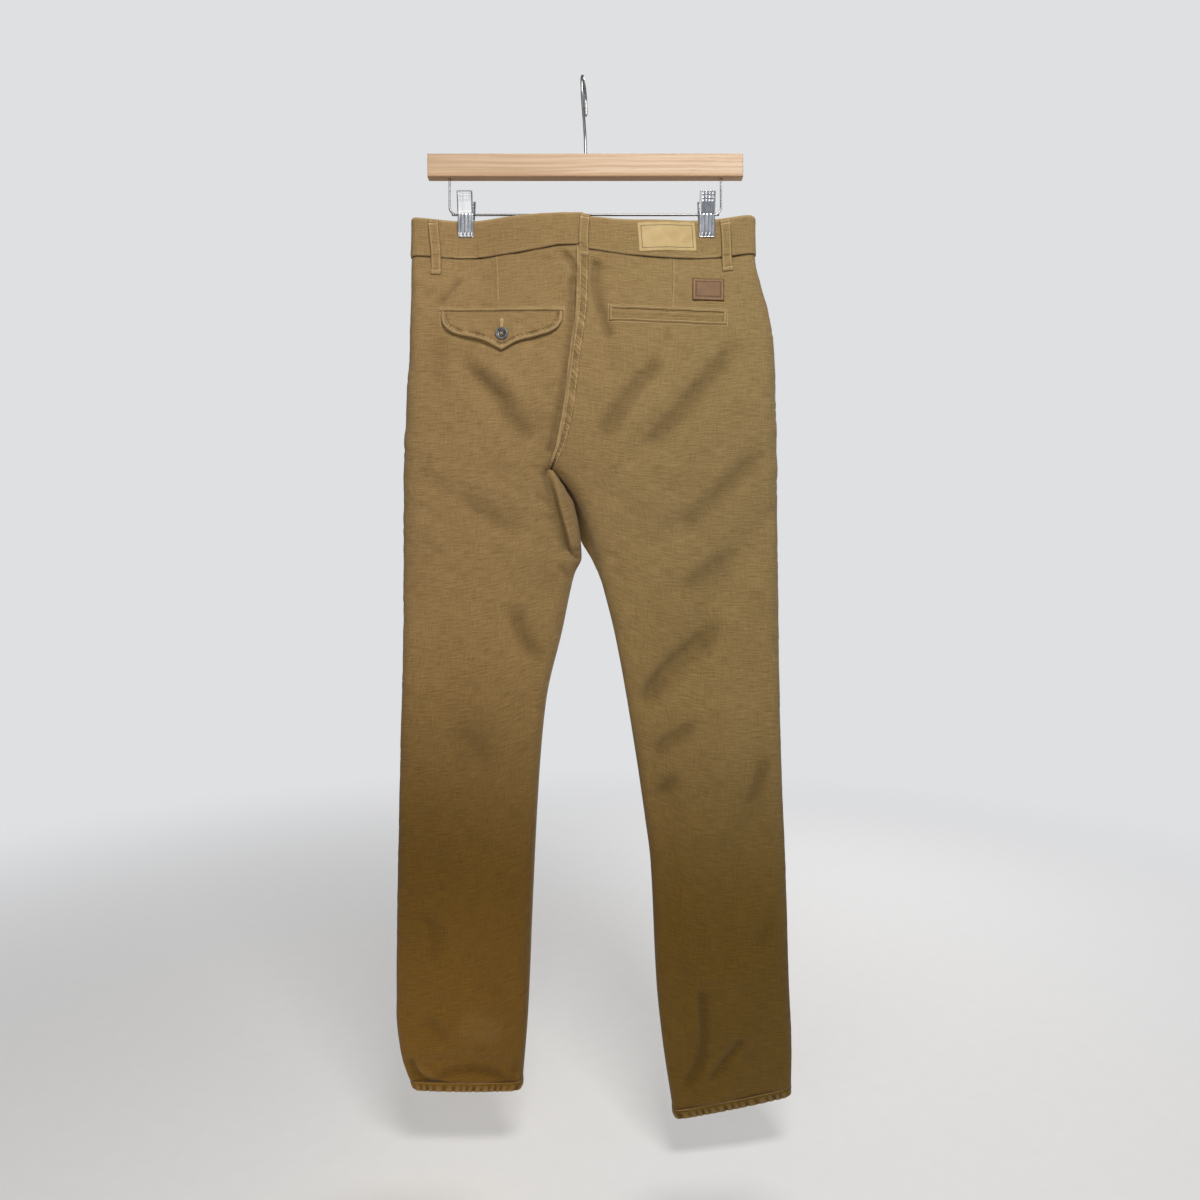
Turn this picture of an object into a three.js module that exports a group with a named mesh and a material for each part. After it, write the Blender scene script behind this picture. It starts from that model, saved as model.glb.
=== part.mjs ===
// Slim chino trousers, hung by the waistband from a wooden clip hanger.
//
// Millimetres, +Z up. The origin is the inside top of the hanger's hook, where a rail or peg carries it.
// -Y is the seat side of the trousers, +Y the fly side, and -X the wearer's left.
//
// The trousers are four cut panels, a waistband in two halves and the small pieces sewn on them. Every
// cloth piece is a wall: a grid of outer points, the same points moved in along their normals, and a rim.
// The outer points come from one surface, clothPoint(), which is worked out from the tables below.
import * as THREE from "three";

const SIGN = { left: -1, right: 1, back: -1, front: 1 };

// Thicknesses and gaps
const PANEL_WALL = 2.0;
const WAISTBAND_WALL = 2.6;
const HEM_WALL = 2.8;
const HEM_PROUD = 0.4;
const TRIM_WALL = 1.6;
const SEAM_GAP = 0.4;
const LIFT = 0.5; // from a panel to the underside of what is sewn on it

// Heights
const WAIST_SEAM_Z = -215;
const WAIST_SHAPE_ENDS_Z = -330;
const FORK_STARTS_Z = -375;
const CROTCH_Z = -469;
const HEM_TOP_Z = -1196;
const HEM_SLOPE_STARTS_Z = -950;
const HEM_HEIGHT = 11;

// The centre seam of the seat, which drifts to the wearer's left on its way down to the crotch.
const CENTRE_SEAM = [
  { z: -160, x: -0.5 },
  { z: -265, x: -1.5 },
  { z: -340, x: -10 },
  { z: -400, x: -17 },
  { z: -440, x: -26 },
  { z: CROTCH_Z, x: -38 },
];

// The outer edge of each half, from the waistband to the hem.
const SIDE_SEAM = {
  left: [
    { z: -160, x: -205 },
    { z: -300, x: -206.5 },
    { z: -400, x: -211 },
    { z: -480, x: -214 },
    { z: -640, x: -215 },
    { z: -800, x: -219 },
    { z: -1000, x: -223.5 },
    { z: -1116, x: -224.5 },
    { z: -1165, x: -219.5 },
    { z: -1210, x: -204 },
  ],
  right: [
    { z: -160, x: 205 },
    { z: -215, x: 205.5 },
    { z: -251, x: 213 },
    { z: -281, x: 221 },
    { z: -335, x: 228 },
    { z: -440, x: 230 },
    { z: -640, x: 233 },
    { z: -790, x: 236 },
    { z: -935, x: 242 },
    { z: -1079, x: 246.5 },
    { z: -1165, x: 250 },
    { z: -1215, x: 249 },
  ],
};

// The inner edge of each leg. The legs leave the crotch side by side and then part.
const INSEAM = {
  left: [
    { z: CROTCH_Z, x: -38 },
    { z: -495, x: -18.5 },
    { z: -511, x: -10.5 },
    { z: -545, x: -4 },
    { z: -572, x: -2 },
    { z: -592, x: -10.5 },
    { z: -660, x: -25.5 },
    { z: -745, x: -45 },
    { z: -845, x: -54 },
    { z: -984, x: -61 },
    { z: -1116, x: -66.5 },
    { z: -1210, x: -74 },
  ],
  right: [
    { z: CROTCH_Z, x: -38 },
    { z: -499, x: -12 },
    { z: -536, x: 4 },
    { z: -599, x: 21 },
    { z: -667, x: 38 },
    { z: -773, x: 57 },
    { z: -887, x: 74 },
    { z: -935, x: 80 },
    { z: -1079, x: 87 },
    { z: -1139, x: 93 },
    { z: -1233, x: 107 },
  ],
};

// How far each face stands from the plane of the seams, and the radius of the fold at the edges.
const DEPTH = [
  { z: -160, back: 12, front: 11, fold: 9 },
  { z: -215, back: 14, front: 12, fold: 11 },
  { z: -270, back: 21, front: 14, fold: 18 },
  { z: -340, back: 28, front: 17, fold: 22 },
  { z: -420, back: 32, front: 19, fold: 24 },
  { z: -560, back: 27, front: 20, fold: 22 },
  { z: -700, back: 24, front: 20, fold: 20 },
  { z: -900, back: 21, front: 18, fold: 18 },
  { z: -1100, back: 20, front: 17, fold: 17 },
  { z: -1240, back: 22, front: 18, fold: 17 },
];

// How far the seams of each leg swing in Y as it hangs.
const SWING = {
  left: [
    { z: CROTCH_Z, side: 0, inseam: 0 },
    { z: -1000, side: 4, inseam: 4 },
    { z: -1240, side: 5, inseam: 4 },
  ],
  right: [
    { z: CROTCH_Z, side: 0, inseam: 0 },
    { z: -1000, side: 4, inseam: -5 },
    { z: -1240, side: 5, inseam: -12 },
  ],
};

// The upper edge of the waistband and the seam under it, on each half of each face.
const WAIST = {
  back: {
    left: [
      { x: -205, top: -168.5, seam: -214.5 },
      { x: -140, top: -170.5, seam: -215.5 },
      { x: -85, top: -167.5, seam: -212 },
      { x: -50, top: -165, seam: -206.5 },
      { x: -25, top: -164, seam: -202 },
      { x: 0, top: -164, seam: -202 },
    ],
    right: [
      { x: 0, top: -168, seam: -206.5 },
      { x: 20, top: -170, seam: -209.5 },
      { x: 60, top: -172.5, seam: -215 },
      { x: 100, top: -171.5, seam: -217 },
      { x: 147, top: -169, seam: -215 },
      { x: 195, top: -165.5, seam: -212 },
      { x: 205, top: -167, seam: -211.5 },
    ],
  },
  front: {
    left: [
      { x: -205, top: -168.5, seam: -214.5 },
      { x: -120, top: -172, seam: -218 },
      { x: 20, top: -176, seam: -222 },
    ],
    right: [
      { x: -5, top: -176, seam: -222 },
      { x: 120, top: -172, seam: -217 },
      { x: 205, top: -167, seam: -211.5 },
    ],
  },
};

// Under the crotch the right front panel rolls across behind the gap between the legs, and the left one
// makes room for it: how far each moves to the wearer's left, a little way in from its inner edge.
const FORK_ROLL = [
  { z: -474, shift: 0 },
  { z: -500, shift: 15 },
  { z: -548, shift: 17 },
  { z: -578, shift: 7 },
  { z: -606, shift: 0 },
];

// The right leg's hem hangs lower at the inseam.
const HEM_DROP = {
  left: { side: 0, inseam: 0 },
  right: { side: -7, inseam: -25 },
};

// The clips pinch the two faces of the waistband together, and the pinch dies out below them.
const CLIP_X = [-140.5, 147.5];
const JAW_BOTTOM_Z = -190;
const JAW_HALF_WIDTH = 10;
const JAW_HALF_GAP = 3.2;
const PINCH_WIDTH = 32;
const PINCH_FADE = 45;

// The largest folds, as lines on a face: a trough has a negative depth, a ridge a positive one.
const FOLDS = [
  { face: "back", side: "left", width: 15, depth: -3.5, line: [[-147, -345], [-100, -388], [-58, -432]] },
  { face: "back", side: "left", width: 24, depth: 2.5, line: [[-95, -352], [-52, -392]] },
  { face: "back", side: "left", width: 13, depth: -2.5, line: [[-82, -640], [-64, -695], [-70, -770]] },
  { face: "back", side: "left", width: 14, depth: -2, line: [[-188, -482], [-128, -520], [-62, -530]] },
  { face: "back", side: "left", width: 26, depth: -2, line: [[-160, -700], [-150, -900], [-156, -1040]] },
  { face: "back", side: "left", width: 10, depth: -3, line: [[-186, -1180], [-144, -1168], [-92, -1177]] },
  { face: "back", side: "right", width: 10, depth: -3, line: [[16, -232], [15, -262], [29, -325], [30, -360]] },
  { face: "back", side: "right", width: 14, depth: -3.5, line: [[174, -336], [131, -382], [88, -431], [60, -455]] },
  { face: "back", side: "right", width: 20, depth: 2.5, line: [[190, -385], [120, -450], [70, -505]] },
  { face: "back", side: "right", width: 15, depth: -3.5, line: [[188, -474], [150, -508], [92, -555]] },
  { face: "back", side: "right", width: 19, depth: -5.5, line: [[214, -530], [156, -626], [84, -740]] },
  { face: "back", side: "right", width: 22, depth: 2.5, line: [[206, -610], [165, -700], [140, -800]] },
  { face: "back", side: "right", width: 14, depth: -3.5, line: [[136, -682], [100, -790], [92, -868]] },
  { face: "back", side: "right", width: 13, depth: -3.5, line: [[100, -858], [108, -1031], [122, -1175]] },
  { face: "back", side: "right", width: 14, depth: -2.5, line: [[208, -873], [172, -942], [158, -1044]] },
  { face: "front", side: "left", width: 16, depth: -3, line: [[-150, -330], [-100, -400], [-62, -440]] },
  { face: "front", side: "left", width: 18, depth: -3.5, line: [[-60, -560], [-120, -640], [-150, -740]] },
  { face: "front", side: "left", width: 15, depth: -2.5, line: [[-100, -830], [-150, -900], [-160, -1000]] },
  { face: "front", side: "left", width: 12, depth: -2.5, line: [[-190, -1160], [-140, -1172], [-95, -1160]] },
  { face: "front", side: "right", width: 16, depth: -3, line: [[150, -320], [90, -390], [40, -440]] },
  { face: "front", side: "right", width: 18, depth: -4, line: [[60, -560], [130, -640], [170, -720]] },
  { face: "front", side: "right", width: 16, depth: -2.5, line: [[120, -820], [170, -900], [185, -1010]] },
  { face: "front", side: "right", width: 12, depth: -2.5, line: [[130, -1165], [180, -1150], [215, -1165]] },
];

// ---------- curves through the tables ----------

// A smooth curve through one column of a table. It never swings past the rows on either side of it.
function curveThrough(table, column, by = "z") {
  const rows = [...table].sort((a, b) => a[by] - b[by]);
  const at = rows.map((row) => row[by]);
  const value = rows.map((row) => row[column]);
  const last = rows.length - 1;
  const slope = at.slice(1).map((a, i) => (value[i + 1] - value[i]) / (a - at[i]));
  const tangent = at.map((_, i) => {
    if (i === 0 || i === last) return slope[Math.min(i, last - 1)];
    const [before, after] = [slope[i - 1], slope[i]];
    return before * after <= 0 ? 0 : (2 * before * after) / (before + after);
  });
  return (where) => {
    const p = Math.min(Math.max(where, at[0]), at[last]);
    const i = Math.min(Math.max(at.findIndex((a) => a > p) - 1, 0), last - 1);
    const k = p >= at[last] ? last - 1 : i;
    const gap = at[k + 1] - at[k];
    const t = (p - at[k]) / gap;
    const [t2, t3] = [t * t, t * t * t];
    return (
      value[k] * (2 * t3 - 3 * t2 + 1) +
      tangent[k] * gap * (t3 - 2 * t2 + t) +
      value[k + 1] * (3 * t2 - 2 * t3) +
      tangent[k + 1] * gap * (t3 - t2)
    );
  };
}

function smoothStep(from, to, value) {
  const t = Math.min(Math.max((value - from) / (to - from), 0), 1);
  return t * t * (3 - 2 * t);
}

const bothSides = (tables, column) => ({
  left: curveThrough(tables.left, column),
  right: curveThrough(tables.right, column),
});
const centreX = curveThrough(CENTRE_SEAM, "x");
const sideX = bothSides(SIDE_SEAM, "x");
const inseamX = bothSides(INSEAM, "x");
const swingAtSide = bothSides(SWING, "side");
const swingAtInseam = bothSides(SWING, "inseam");
const depthOf = { back: curveThrough(DEPTH, "back"), front: curveThrough(DEPTH, "front") };
const foldRadius = curveThrough(DEPTH, "fold");
const forkRoll = curveThrough(FORK_ROLL, "shift");
const waistCurve = (face, side, column) => curveThrough(WAIST[face][side], column, "x");
const waistTop = {};
const waistSeam = {};
for (const face of ["back", "front"]) {
  waistTop[face] = { left: waistCurve(face, "left", "top"), right: waistCurve(face, "right", "top") };
  waistSeam[face] = { left: waistCurve(face, "left", "seam"), right: waistCurve(face, "right", "seam") };
}

// ---------- the surface of the cloth ----------

const innerX = (side, z) => (z >= CROTCH_Z ? centreX(z) : inseamX[side](z));

// 1 where the two halves are one trunk, 0 where each leg is a tube of its own, a quarter ellipse between.
function trunkShare(z) {
  const t = Math.min(Math.max((FORK_STARTS_Z - z) / (FORK_STARTS_Z - CROTCH_Z), 0), 1);
  return Math.sqrt(1 - t * t);
}

// The rounding of a face as it turns in towards a folded edge.
function turnIn(distance, radius) {
  const t = 1 - Math.min(Math.max(distance / radius, 0), 1);
  return Math.sqrt(1 - t * t);
}

function distanceToLine(x, z, line) {
  let nearest = Infinity;
  for (let i = 1; i < line.length; i++) {
    const [[x0, z0], [x1, z1]] = [line[i - 1], line[i]];
    const [dx, dz] = [x1 - x0, z1 - z0];
    const t = Math.min(Math.max(((x - x0) * dx + (z - z0) * dz) / (dx * dx + dz * dz), 0), 1);
    nearest = Math.min(nearest, Math.hypot(x - x0 - t * dx, z - z0 - t * dz));
  }
  return nearest;
}

function foldHeight(face, side, x, z) {
  let height = 0;
  for (const fold of FOLDS) {
    if (fold.face !== face || fold.side !== side) continue;
    height += fold.depth * Math.exp(-((distanceToLine(x, z, fold.line) / fold.width) ** 2));
  }
  return height;
}

// What the clips leave of a face's depth: all of it far away, and the jaws' gap under them.
function pinch(depth, x, z) {
  const fade = z > JAW_BOTTOM_Z - 3 ? 1 : Math.exp(-(((z - JAW_BOTTOM_Z + 3) / PINCH_FADE) ** 2));
  return CLIP_X.reduce((share, clipX) => {
    const beyondJaw = Math.max(0, Math.abs(x - clipX) - JAW_HALF_WIDTH);
    const near = fade * Math.exp(-((beyondJaw / PINCH_WIDTH) ** 2));
    return share * (1 - near * (1 - JAW_HALF_GAP / depth));
  }, 1);
}

// Y of a face's outer surface.
function clothY(side, face, x, z) {
  const [xSide, xInner] = [sideX[side](z), innerX(side, z)];
  const across = Math.min(Math.max((x - xInner) / (xSide - xInner), 0), 1);
  const trunk = trunkShare(z);
  const radius = foldRadius(z);
  const crown = 1 - 0.18 * (trunk * across ** 2 + (1 - trunk) * (2 * across - 1) ** 2);
  const outerEdge = turnIn(Math.abs(xSide - x), radius);
  const innerEdge = trunk + (1 - trunk) * turnIn(Math.abs(x - xInner), radius);
  const edges = outerEdge * innerEdge;
  const depth = depthOf[face](z) * crown;
  const swing = across * swingAtSide[side](z) + (1 - across) * swingAtInseam[side](z);
  return swing + SIGN[face] * edges * (depth * pinch(depth, x, z) + foldHeight(face, side, x, z));
}

// How far the fork's roll carries a point of a front panel to the wearer's left.
function rolledAway(face, x, z, side) {
  if (face === "back" || z > CROTCH_Z) return 0;
  const share = Math.min(Math.abs(x - innerX(side, z)) / (1.4 * foldRadius(z)), 1);
  return forkRoll(z) * Math.sin(Math.PI * Math.sqrt(share));
}

const clothPoint = (side, face, x, z) =>
  new THREE.Vector3(x - rolledAway(face, x, z, side), clothY(side, face, x, z), z);

// The outward normal away from the folded edges, from the slopes of the surface.
function clothNormal(side, face, x, z) {
  const step = 1.5;
  const slopeX = (clothY(side, face, x + step, z) - clothY(side, face, x - step, z)) / (2 * step);
  const slopeZ = (clothY(side, face, x, z + step) - clothY(side, face, x, z - step)) / (2 * step);
  return new THREE.Vector3(-slopeX, 1, -slopeZ).multiplyScalar(SIGN[face]).normalize();
}

// ---------- walls of cloth ----------

// The outer grids of the panels and the waistband, for the pieces that are sewn on them.
const outerGrids = [];

// Places from a folded edge at 0 to one at 1: close together on the two turns, evenly spread between.
function spread(arcSteps, midSteps, arcShare) {
  const places = [];
  for (let i = 0; i < arcSteps; i++) {
    places.push(arcShare * (1 - Math.cos((Math.PI / 2) * (i / arcSteps))));
  }
  for (let i = 0; i <= midSteps; i++) places.push(arcShare + (1 - 2 * arcShare) * (i / midSteps));
  for (let i = arcSteps - 1; i >= 0; i--) {
    places.push(1 - arcShare * (1 - Math.cos((Math.PI / 2) * (i / arcSteps))));
  }
  return places;
}

// The normal at each point of a grid, on the side of its outward hint.
function gridNormals(grid, ring, hint) {
  const rows = grid.length;
  const columns = grid[0].length;
  return grid.map((row, j) =>
    row.map((point, i) => {
      const next = ring ? (i + 1) % columns : Math.min(i + 1, columns - 1);
      const previous = ring ? (i + columns - 1) % columns : Math.max(i - 1, 0);
      const along = row[next].clone().sub(row[previous]);
      const down = grid[Math.min(j + 1, rows - 1)][i].clone().sub(grid[Math.max(j - 1, 0)][i]);
      const normal = along.cross(down).normalize();
      return normal.dot(hint(i, j, point)) < 0 ? normal.negate() : normal;
    }),
  );
}

// A closed solid between two grids of points of the same size. With ring, the last column joins the first.
function solidBetween(outer, inner, ring = false) {
  const rows = outer.length;
  const columns = outer[0].length;
  const position = [];
  for (const grid of [outer, inner]) {
    for (const row of grid) for (const p of row) position.push(p.x, p.y, p.z);
  }
  const index = [];
  const at = (layer, j, i) => layer * rows * columns + j * columns + (i % columns);
  const quad = (a, b, c, d) => index.push(a, b, c, a, c, d);
  const lastColumn = ring ? columns : columns - 1;
  for (let j = 0; j < rows - 1; j++) {
    for (let i = 0; i < lastColumn; i++) {
      quad(at(0, j, i), at(0, j + 1, i), at(0, j + 1, i + 1), at(0, j, i + 1));
      quad(at(1, j, i), at(1, j, i + 1), at(1, j + 1, i + 1), at(1, j + 1, i));
    }
  }
  for (let i = 0; i < lastColumn; i++) {
    quad(at(0, 0, i), at(0, 0, i + 1), at(1, 0, i + 1), at(1, 0, i));
    quad(at(0, rows - 1, i), at(1, rows - 1, i), at(1, rows - 1, i + 1), at(0, rows - 1, i + 1));
  }
  if (!ring) {
    for (let j = 0; j < rows - 1; j++) {
      quad(at(0, j, 0), at(1, j, 0), at(1, j + 1, 0), at(0, j + 1, 0));
      const end = columns - 1;
      quad(at(0, j, end), at(0, j + 1, end), at(1, j + 1, end), at(1, j, end));
    }
  }
  const geometry = new THREE.BufferGeometry();
  geometry.setAttribute("position", new THREE.Float32BufferAttribute(position, 3));
  geometry.setIndex(volume(position, index) < 0 ? turnedRound(index) : index);
  geometry.computeVertexNormals();
  return geometry;
}

function volume(position, index) {
  const corner = (k) => new THREE.Vector3(...position.slice(3 * index[k], 3 * index[k] + 3));
  let sum = 0;
  for (let k = 0; k < index.length; k += 3) sum += corner(k).dot(corner(k + 1).cross(corner(k + 2)));
  return sum / 6;
}

function turnedRound(index) {
  const turned = [];
  for (let k = 0; k < index.length; k += 3) turned.push(index[k], index[k + 2], index[k + 1]);
  return turned;
}

// Two grids from one: the outer points and the same points moved in by the wall's thickness.
function movedIn(grid, normals, thickness) {
  return grid.map((row, j) =>
    row.map((point, i) => point.clone().addScaledVector(normals[j][i], -thickness)),
  );
}

// ---------- the panels ----------

// Z of a panel's row at a place x: rows are level, but follow the waistband above and the hem below.
function rowZ(side, face, x, across, level) {
  const waist = smoothStep(WAIST_SHAPE_ENDS_Z, WAIST_SEAM_Z, level);
  const hem = smoothStep(HEM_SLOPE_STARTS_Z, HEM_TOP_Z, level);
  const drop = HEM_DROP[side].side * across + HEM_DROP[side].inseam * (1 - across);
  return level + waist * (waistSeam[face][side](x) - SEAM_GAP - WAIST_SEAM_Z) + hem * drop;
}

// Levels from the waist seam to the hem, closer together round the crotch and above the hem.
function panelLevels(count) {
  const closeness = (z) =>
    1 + 2.2 * Math.exp(-(((z - CROTCH_Z) / 45) ** 2)) + 0.9 * Math.exp(-(((z - HEM_TOP_Z) / 50) ** 2));
  const samples = 400;
  const heights = Array.from({ length: samples + 1 }, (_, i) =>
    THREE.MathUtils.lerp(WAIST_SEAM_Z, HEM_TOP_Z, i / samples),
  );
  const sums = [0];
  for (let i = 1; i <= samples; i++) sums.push(sums[i - 1] + closeness(heights[i]));
  const levels = Array.from({ length: count + 1 }, (_, k) => {
    const target = (sums[samples] * k) / count;
    return heights[Math.max(sums.findIndex((sum) => sum >= target - 1e-9), 0)];
  });
  // One level falls on the crotch, where the inner edge turns from the centre seam to the inseam.
  const nearest = levels.reduce((best, z, k) =>
    Math.abs(z - CROTCH_Z) < Math.abs(levels[best] - CROTCH_Z) ? k : best, 0);
  levels[nearest] = CROTCH_Z;
  return levels;
}

function panel(side, face, columns, levelCount) {
  const acrossPlaces = spread(columns.arc, columns.mid, columns.arcShare).map((place) => 1 - place);
  const levels = panelLevels(levelCount);
  const grid = levels.map((level) => {
    const zSide = rowZ(side, face, sideX[side](level), 1, level);
    const zInner = rowZ(side, face, innerX(side, level), 0, level);
    const [xSide, xInner] = [sideX[side](zSide), innerX(side, zInner)];
    return acrossPlaces.map((across) => {
      const x = xInner + (xSide - xInner) * across;
      const z = rowZ(side, face, x, across, level);
      const edgeZ = across === 1 ? zSide : across === 0 ? zInner : z;
      return clothPoint(side, face, x, edgeZ);
    });
  });
  const hint = (i, j, p) =>
    new THREE.Vector3(i === 0 ? SIGN[side] : 0, SIGN[face] * (i === 0 ? 0.2 : 1), 0).addScaledVector(
      new THREE.Vector3(-SIGN[side], 0, 0),
      p.z < CROTCH_Z && i === acrossPlaces.length - 1 ? 2 : 0,
    );
  const normals = gridNormals(grid, false, hint);
  const end = acrossPlaces.length - 1;
  normals.forEach((row, j) => {
    // A panel's ends stay on its own side of the seams.
    if (j === 0 || j === levels.length - 1) for (const normal of row) normal.setZ(0).normalize();
    row[0].y = 0;
    row[0].normalize();
    if (levels[j] <= CROTCH_Z) row[end].set(-SIGN[side], 0, 0);
    else if (row[end].x * SIGN[side] > 0) row[end].x = 0;
    row[end].normalize();
  });
  const shift = new THREE.Vector3((SIGN[side] * SEAM_GAP) / 2, (SIGN[face] * SEAM_GAP) / 2, 0);
  grid.flat().forEach((point) => point.add(shift));
  outerGrids.push({ face, grid });
  return solidBetween(grid, movedIn(grid, normals, PANEL_WALL));
}

// ---------- the waistband and the hems ----------

// One half of the waistband, from the centre back round the side to where it closes at the front.
const WAISTBAND_CLOSES_X = 3;

function waistband(side) {
  const sign = SIGN[side];
  const half = (side_, face, x) => (face === "front" && x > 0 ? "right" : side_);
  const columns = [];
  const backSteps = 14;
  const turnSteps = 3;
  const frontSteps = 12;
  const xSide = sideX[side](-190);
  const fold = foldRadius(-190);
  const startX = (sign * SEAM_GAP) / 2 + centreX(-190);
  const endX = WAISTBAND_CLOSES_X + (sign * SEAM_GAP) / 2;
  for (let i = 0; i <= backSteps; i++) {
    columns.push({ face: "back", x: THREE.MathUtils.lerp(startX, xSide - sign * fold, i / backSteps) });
  }
  for (let i = 1; i <= 2 * turnSteps - 1; i++) {
    const angle = (Math.PI / 2) * (i / turnSteps);
    columns.push({
      face: i <= turnSteps ? "back" : "front",
      x: xSide - sign * fold * (1 - Math.sin(angle)),
      edge: i === turnSteps,
    });
  }
  for (let i = 0; i <= frontSteps; i++) {
    columns.push({ face: "front", x: THREE.MathUtils.lerp(xSide - sign * fold, endX, i / frontSteps) });
  }
  const grid = [0, 0.5, 1].map((down) =>
    columns.map(({ face, x, edge }) => {
      const h = half(side, face, x);
      const z = THREE.MathUtils.lerp(waistTop[face][h](x), waistSeam[face][h](x), down);
      return clothPoint(h, face, edge ? sideX[h](z) : x, z);
    }),
  );
  const hint = (i) => {
    const { face, edge } = columns[i];
    return edge ? new THREE.Vector3(sign, 0, 0) : new THREE.Vector3(0, SIGN[face], 0);
  };
  const normals = gridNormals(grid, false, hint);
  for (const row of normals) {
    for (const normal of row) normal.z = 0;
    for (const end of [row[0], row[row.length - 1]]) end.x = 0;
    for (const normal of row) normal.normalize();
  }
  outerGrids.push({ face: "back", grid }, { face: "front", grid });
  return solidBetween(grid, movedIn(grid, normals, WAISTBAND_WALL));
}

// A turned-up hem: a ring round the end of a leg, a little proud of it.
function hem(side) {
  const places = spread(3, 8, 0.11);
  const round = [
    ...places.map((place) => ({ face: "back", across: 1 - place })),
    ...places.slice(1, -1).map((place) => ({ face: "front", across: place })),
  ];
  const grid = [0, 1].map((down) =>
    round.map(({ face, across }) => {
      const drop = HEM_DROP[side].side * across + HEM_DROP[side].inseam * (1 - across);
      const z = HEM_TOP_Z + drop - SEAM_GAP - HEM_HEIGHT * down;
      const [xSide, xInner] = [sideX[side](z), innerX(side, z)];
      return clothPoint(side, face, xInner + (xSide - xInner) * across, z);
    }),
  );
  const centreOfRow = (row) => row.reduce((sum, p) => sum.add(p), new THREE.Vector3()).divideScalar(row.length);
  const centres = grid.map(centreOfRow);
  const normals = gridNormals(grid, true, (i, j, p) => p.clone().sub(centres[j]));
  for (const normal of normals.flat()) normal.setZ(0).normalize();
  return solidBetween(movedIn(grid, normals, -HEM_PROUD), movedIn(grid, normals, HEM_WALL - HEM_PROUD), true);
}

// ---------- pieces sewn on a face ----------

// How far the built cloth of a face stands out in Y at a place, from the facets of its grids.
function facetY(face, x, z) {
  let best = -Infinity;
  const inFacet = (a, b, c) => {
    const area = (b.x - a.x) * (c.z - a.z) - (c.x - a.x) * (b.z - a.z);
    if (Math.abs(area) < 1e-9) return;
    const u = ((x - a.x) * (c.z - a.z) - (c.x - a.x) * (z - a.z)) / area;
    const v = ((b.x - a.x) * (z - a.z) - (x - a.x) * (b.z - a.z)) / area;
    if (u < -1e-6 || v < -1e-6 || u + v > 1 + 1e-6) return;
    best = Math.max(best, SIGN[face] * (a.y + u * (b.y - a.y) + v * (c.y - a.y)));
  };
  for (const { face: gridFace, grid } of outerGrids) {
    if (gridFace !== face) continue;
    for (let j = 0; j < grid.length - 1; j++) {
      const [z0, z1] = [grid[j][0].z, grid[j + 1][0].z];
      if (z > Math.max(z0, z1) + 32 || z < Math.min(z0, z1) - 32) continue;
      for (let i = 0; i < grid[j].length - 1; i++) {
        const [a, b, c, d] = [grid[j][i], grid[j + 1][i], grid[j + 1][i + 1], grid[j][i + 1]];
        if (x < Math.min(a.x, b.x, c.x, d.x) || x > Math.max(a.x, b.x, c.x, d.x)) continue;
        inFacet(a, b, c);
        inFacet(a, c, d);
      }
    }
  }
  return best;
}

const sideAt = (x, z) => (x < centreX(z) ? "left" : "right");

// A point on the built cloth, or just above it where the cloth stands higher close by.
function pointOnCloth(face, x, z) {
  const reach = 1.5;
  const around = [[0, 0], [reach, 0], [-reach, 0], [0, reach], [0, -reach]];
  const built = Math.max(...around.map(([dx, dz]) => facetY(face, x + dx, z + dz)));
  const nominal = SIGN[face] * clothY(sideAt(x, z), face, x, z);
  return new THREE.Vector3(x, SIGN[face] * (built > -Infinity ? built : nominal), z);
}

// A flat piece that lies on a face. rows holds the places of its points as [x, z].
function sewnOn(face, rows, thickness, lift = () => LIFT) {
  const lifted = (extra) =>
    rows.map((row, j) =>
      row.map(([x, z], i) => {
        const height = lift(i / (row.length - 1), j / (rows.length - 1)) + extra;
        return pointOnCloth(face, x, z).addScaledVector(clothNormal(sideAt(x, z), face, x, z), height);
      }),
    );
  return solidBetween(lifted(thickness), lifted(0));
}

// Places in a grid between two lines, each a function from 0..1 to [x, z].
function between(start, end, columns, rows) {
  return Array.from({ length: rows + 1 }, (_, j) =>
    Array.from({ length: columns + 1 }, (_, i) => {
      const [a, b] = [start(i / columns), end(i / columns)];
      return [THREE.MathUtils.lerp(a[0], b[0], j / rows), THREE.MathUtils.lerp(a[1], b[1], j / rows)];
    }),
  );
}

// A straight-sided piece about a centre, turned by degrees.
function rectangle({ x, z, width, height, turn = 0 }, columns, rows) {
  const angle = THREE.MathUtils.degToRad(turn);
  const corner = (across, up) => [
    x + across * width * Math.cos(angle) - up * height * Math.sin(angle),
    z + across * width * Math.sin(angle) + up * height * Math.cos(angle),
  ];
  return between((t) => corner(t - 0.5, 0.5), (t) => corner(t - 0.5, -0.5), columns, rows);
}

// A belt loop: a strip from the top of the waistband to below its seam, standing off between its ends.
const LOOP_WIDTH = 12.2;
const LOOP_WALL = 1.8;
const LOOP_STANDS_OFF = 1.3;

function beltLoop({ face, top, bottom }) {
  const edge = (across) => [
    THREE.MathUtils.lerp(top[0], bottom[0], across),
    THREE.MathUtils.lerp(top[1], bottom[1], across),
  ];
  const strip = between(
    (t) => [edge(t)[0] - LOOP_WIDTH / 2, edge(t)[1]],
    (t) => [edge(t)[0] + LOOP_WIDTH / 2, edge(t)[1]],
    9,
    2,
  );
  const arch = (along) => LIFT + LOOP_STANDS_OFF * Math.sin(Math.PI * along) ** 0.7;
  return sewnOn(face, strip, LOOP_WALL, arch);
}

// The felled centre seam of the seat, a doubled band over the join of the two back panels.
const SEAT_SEAM_WIDTH = 14;
const SEAT_SEAM_TOP_Z = -219;
const SEAT_SEAM_END_Z = -462;

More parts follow.
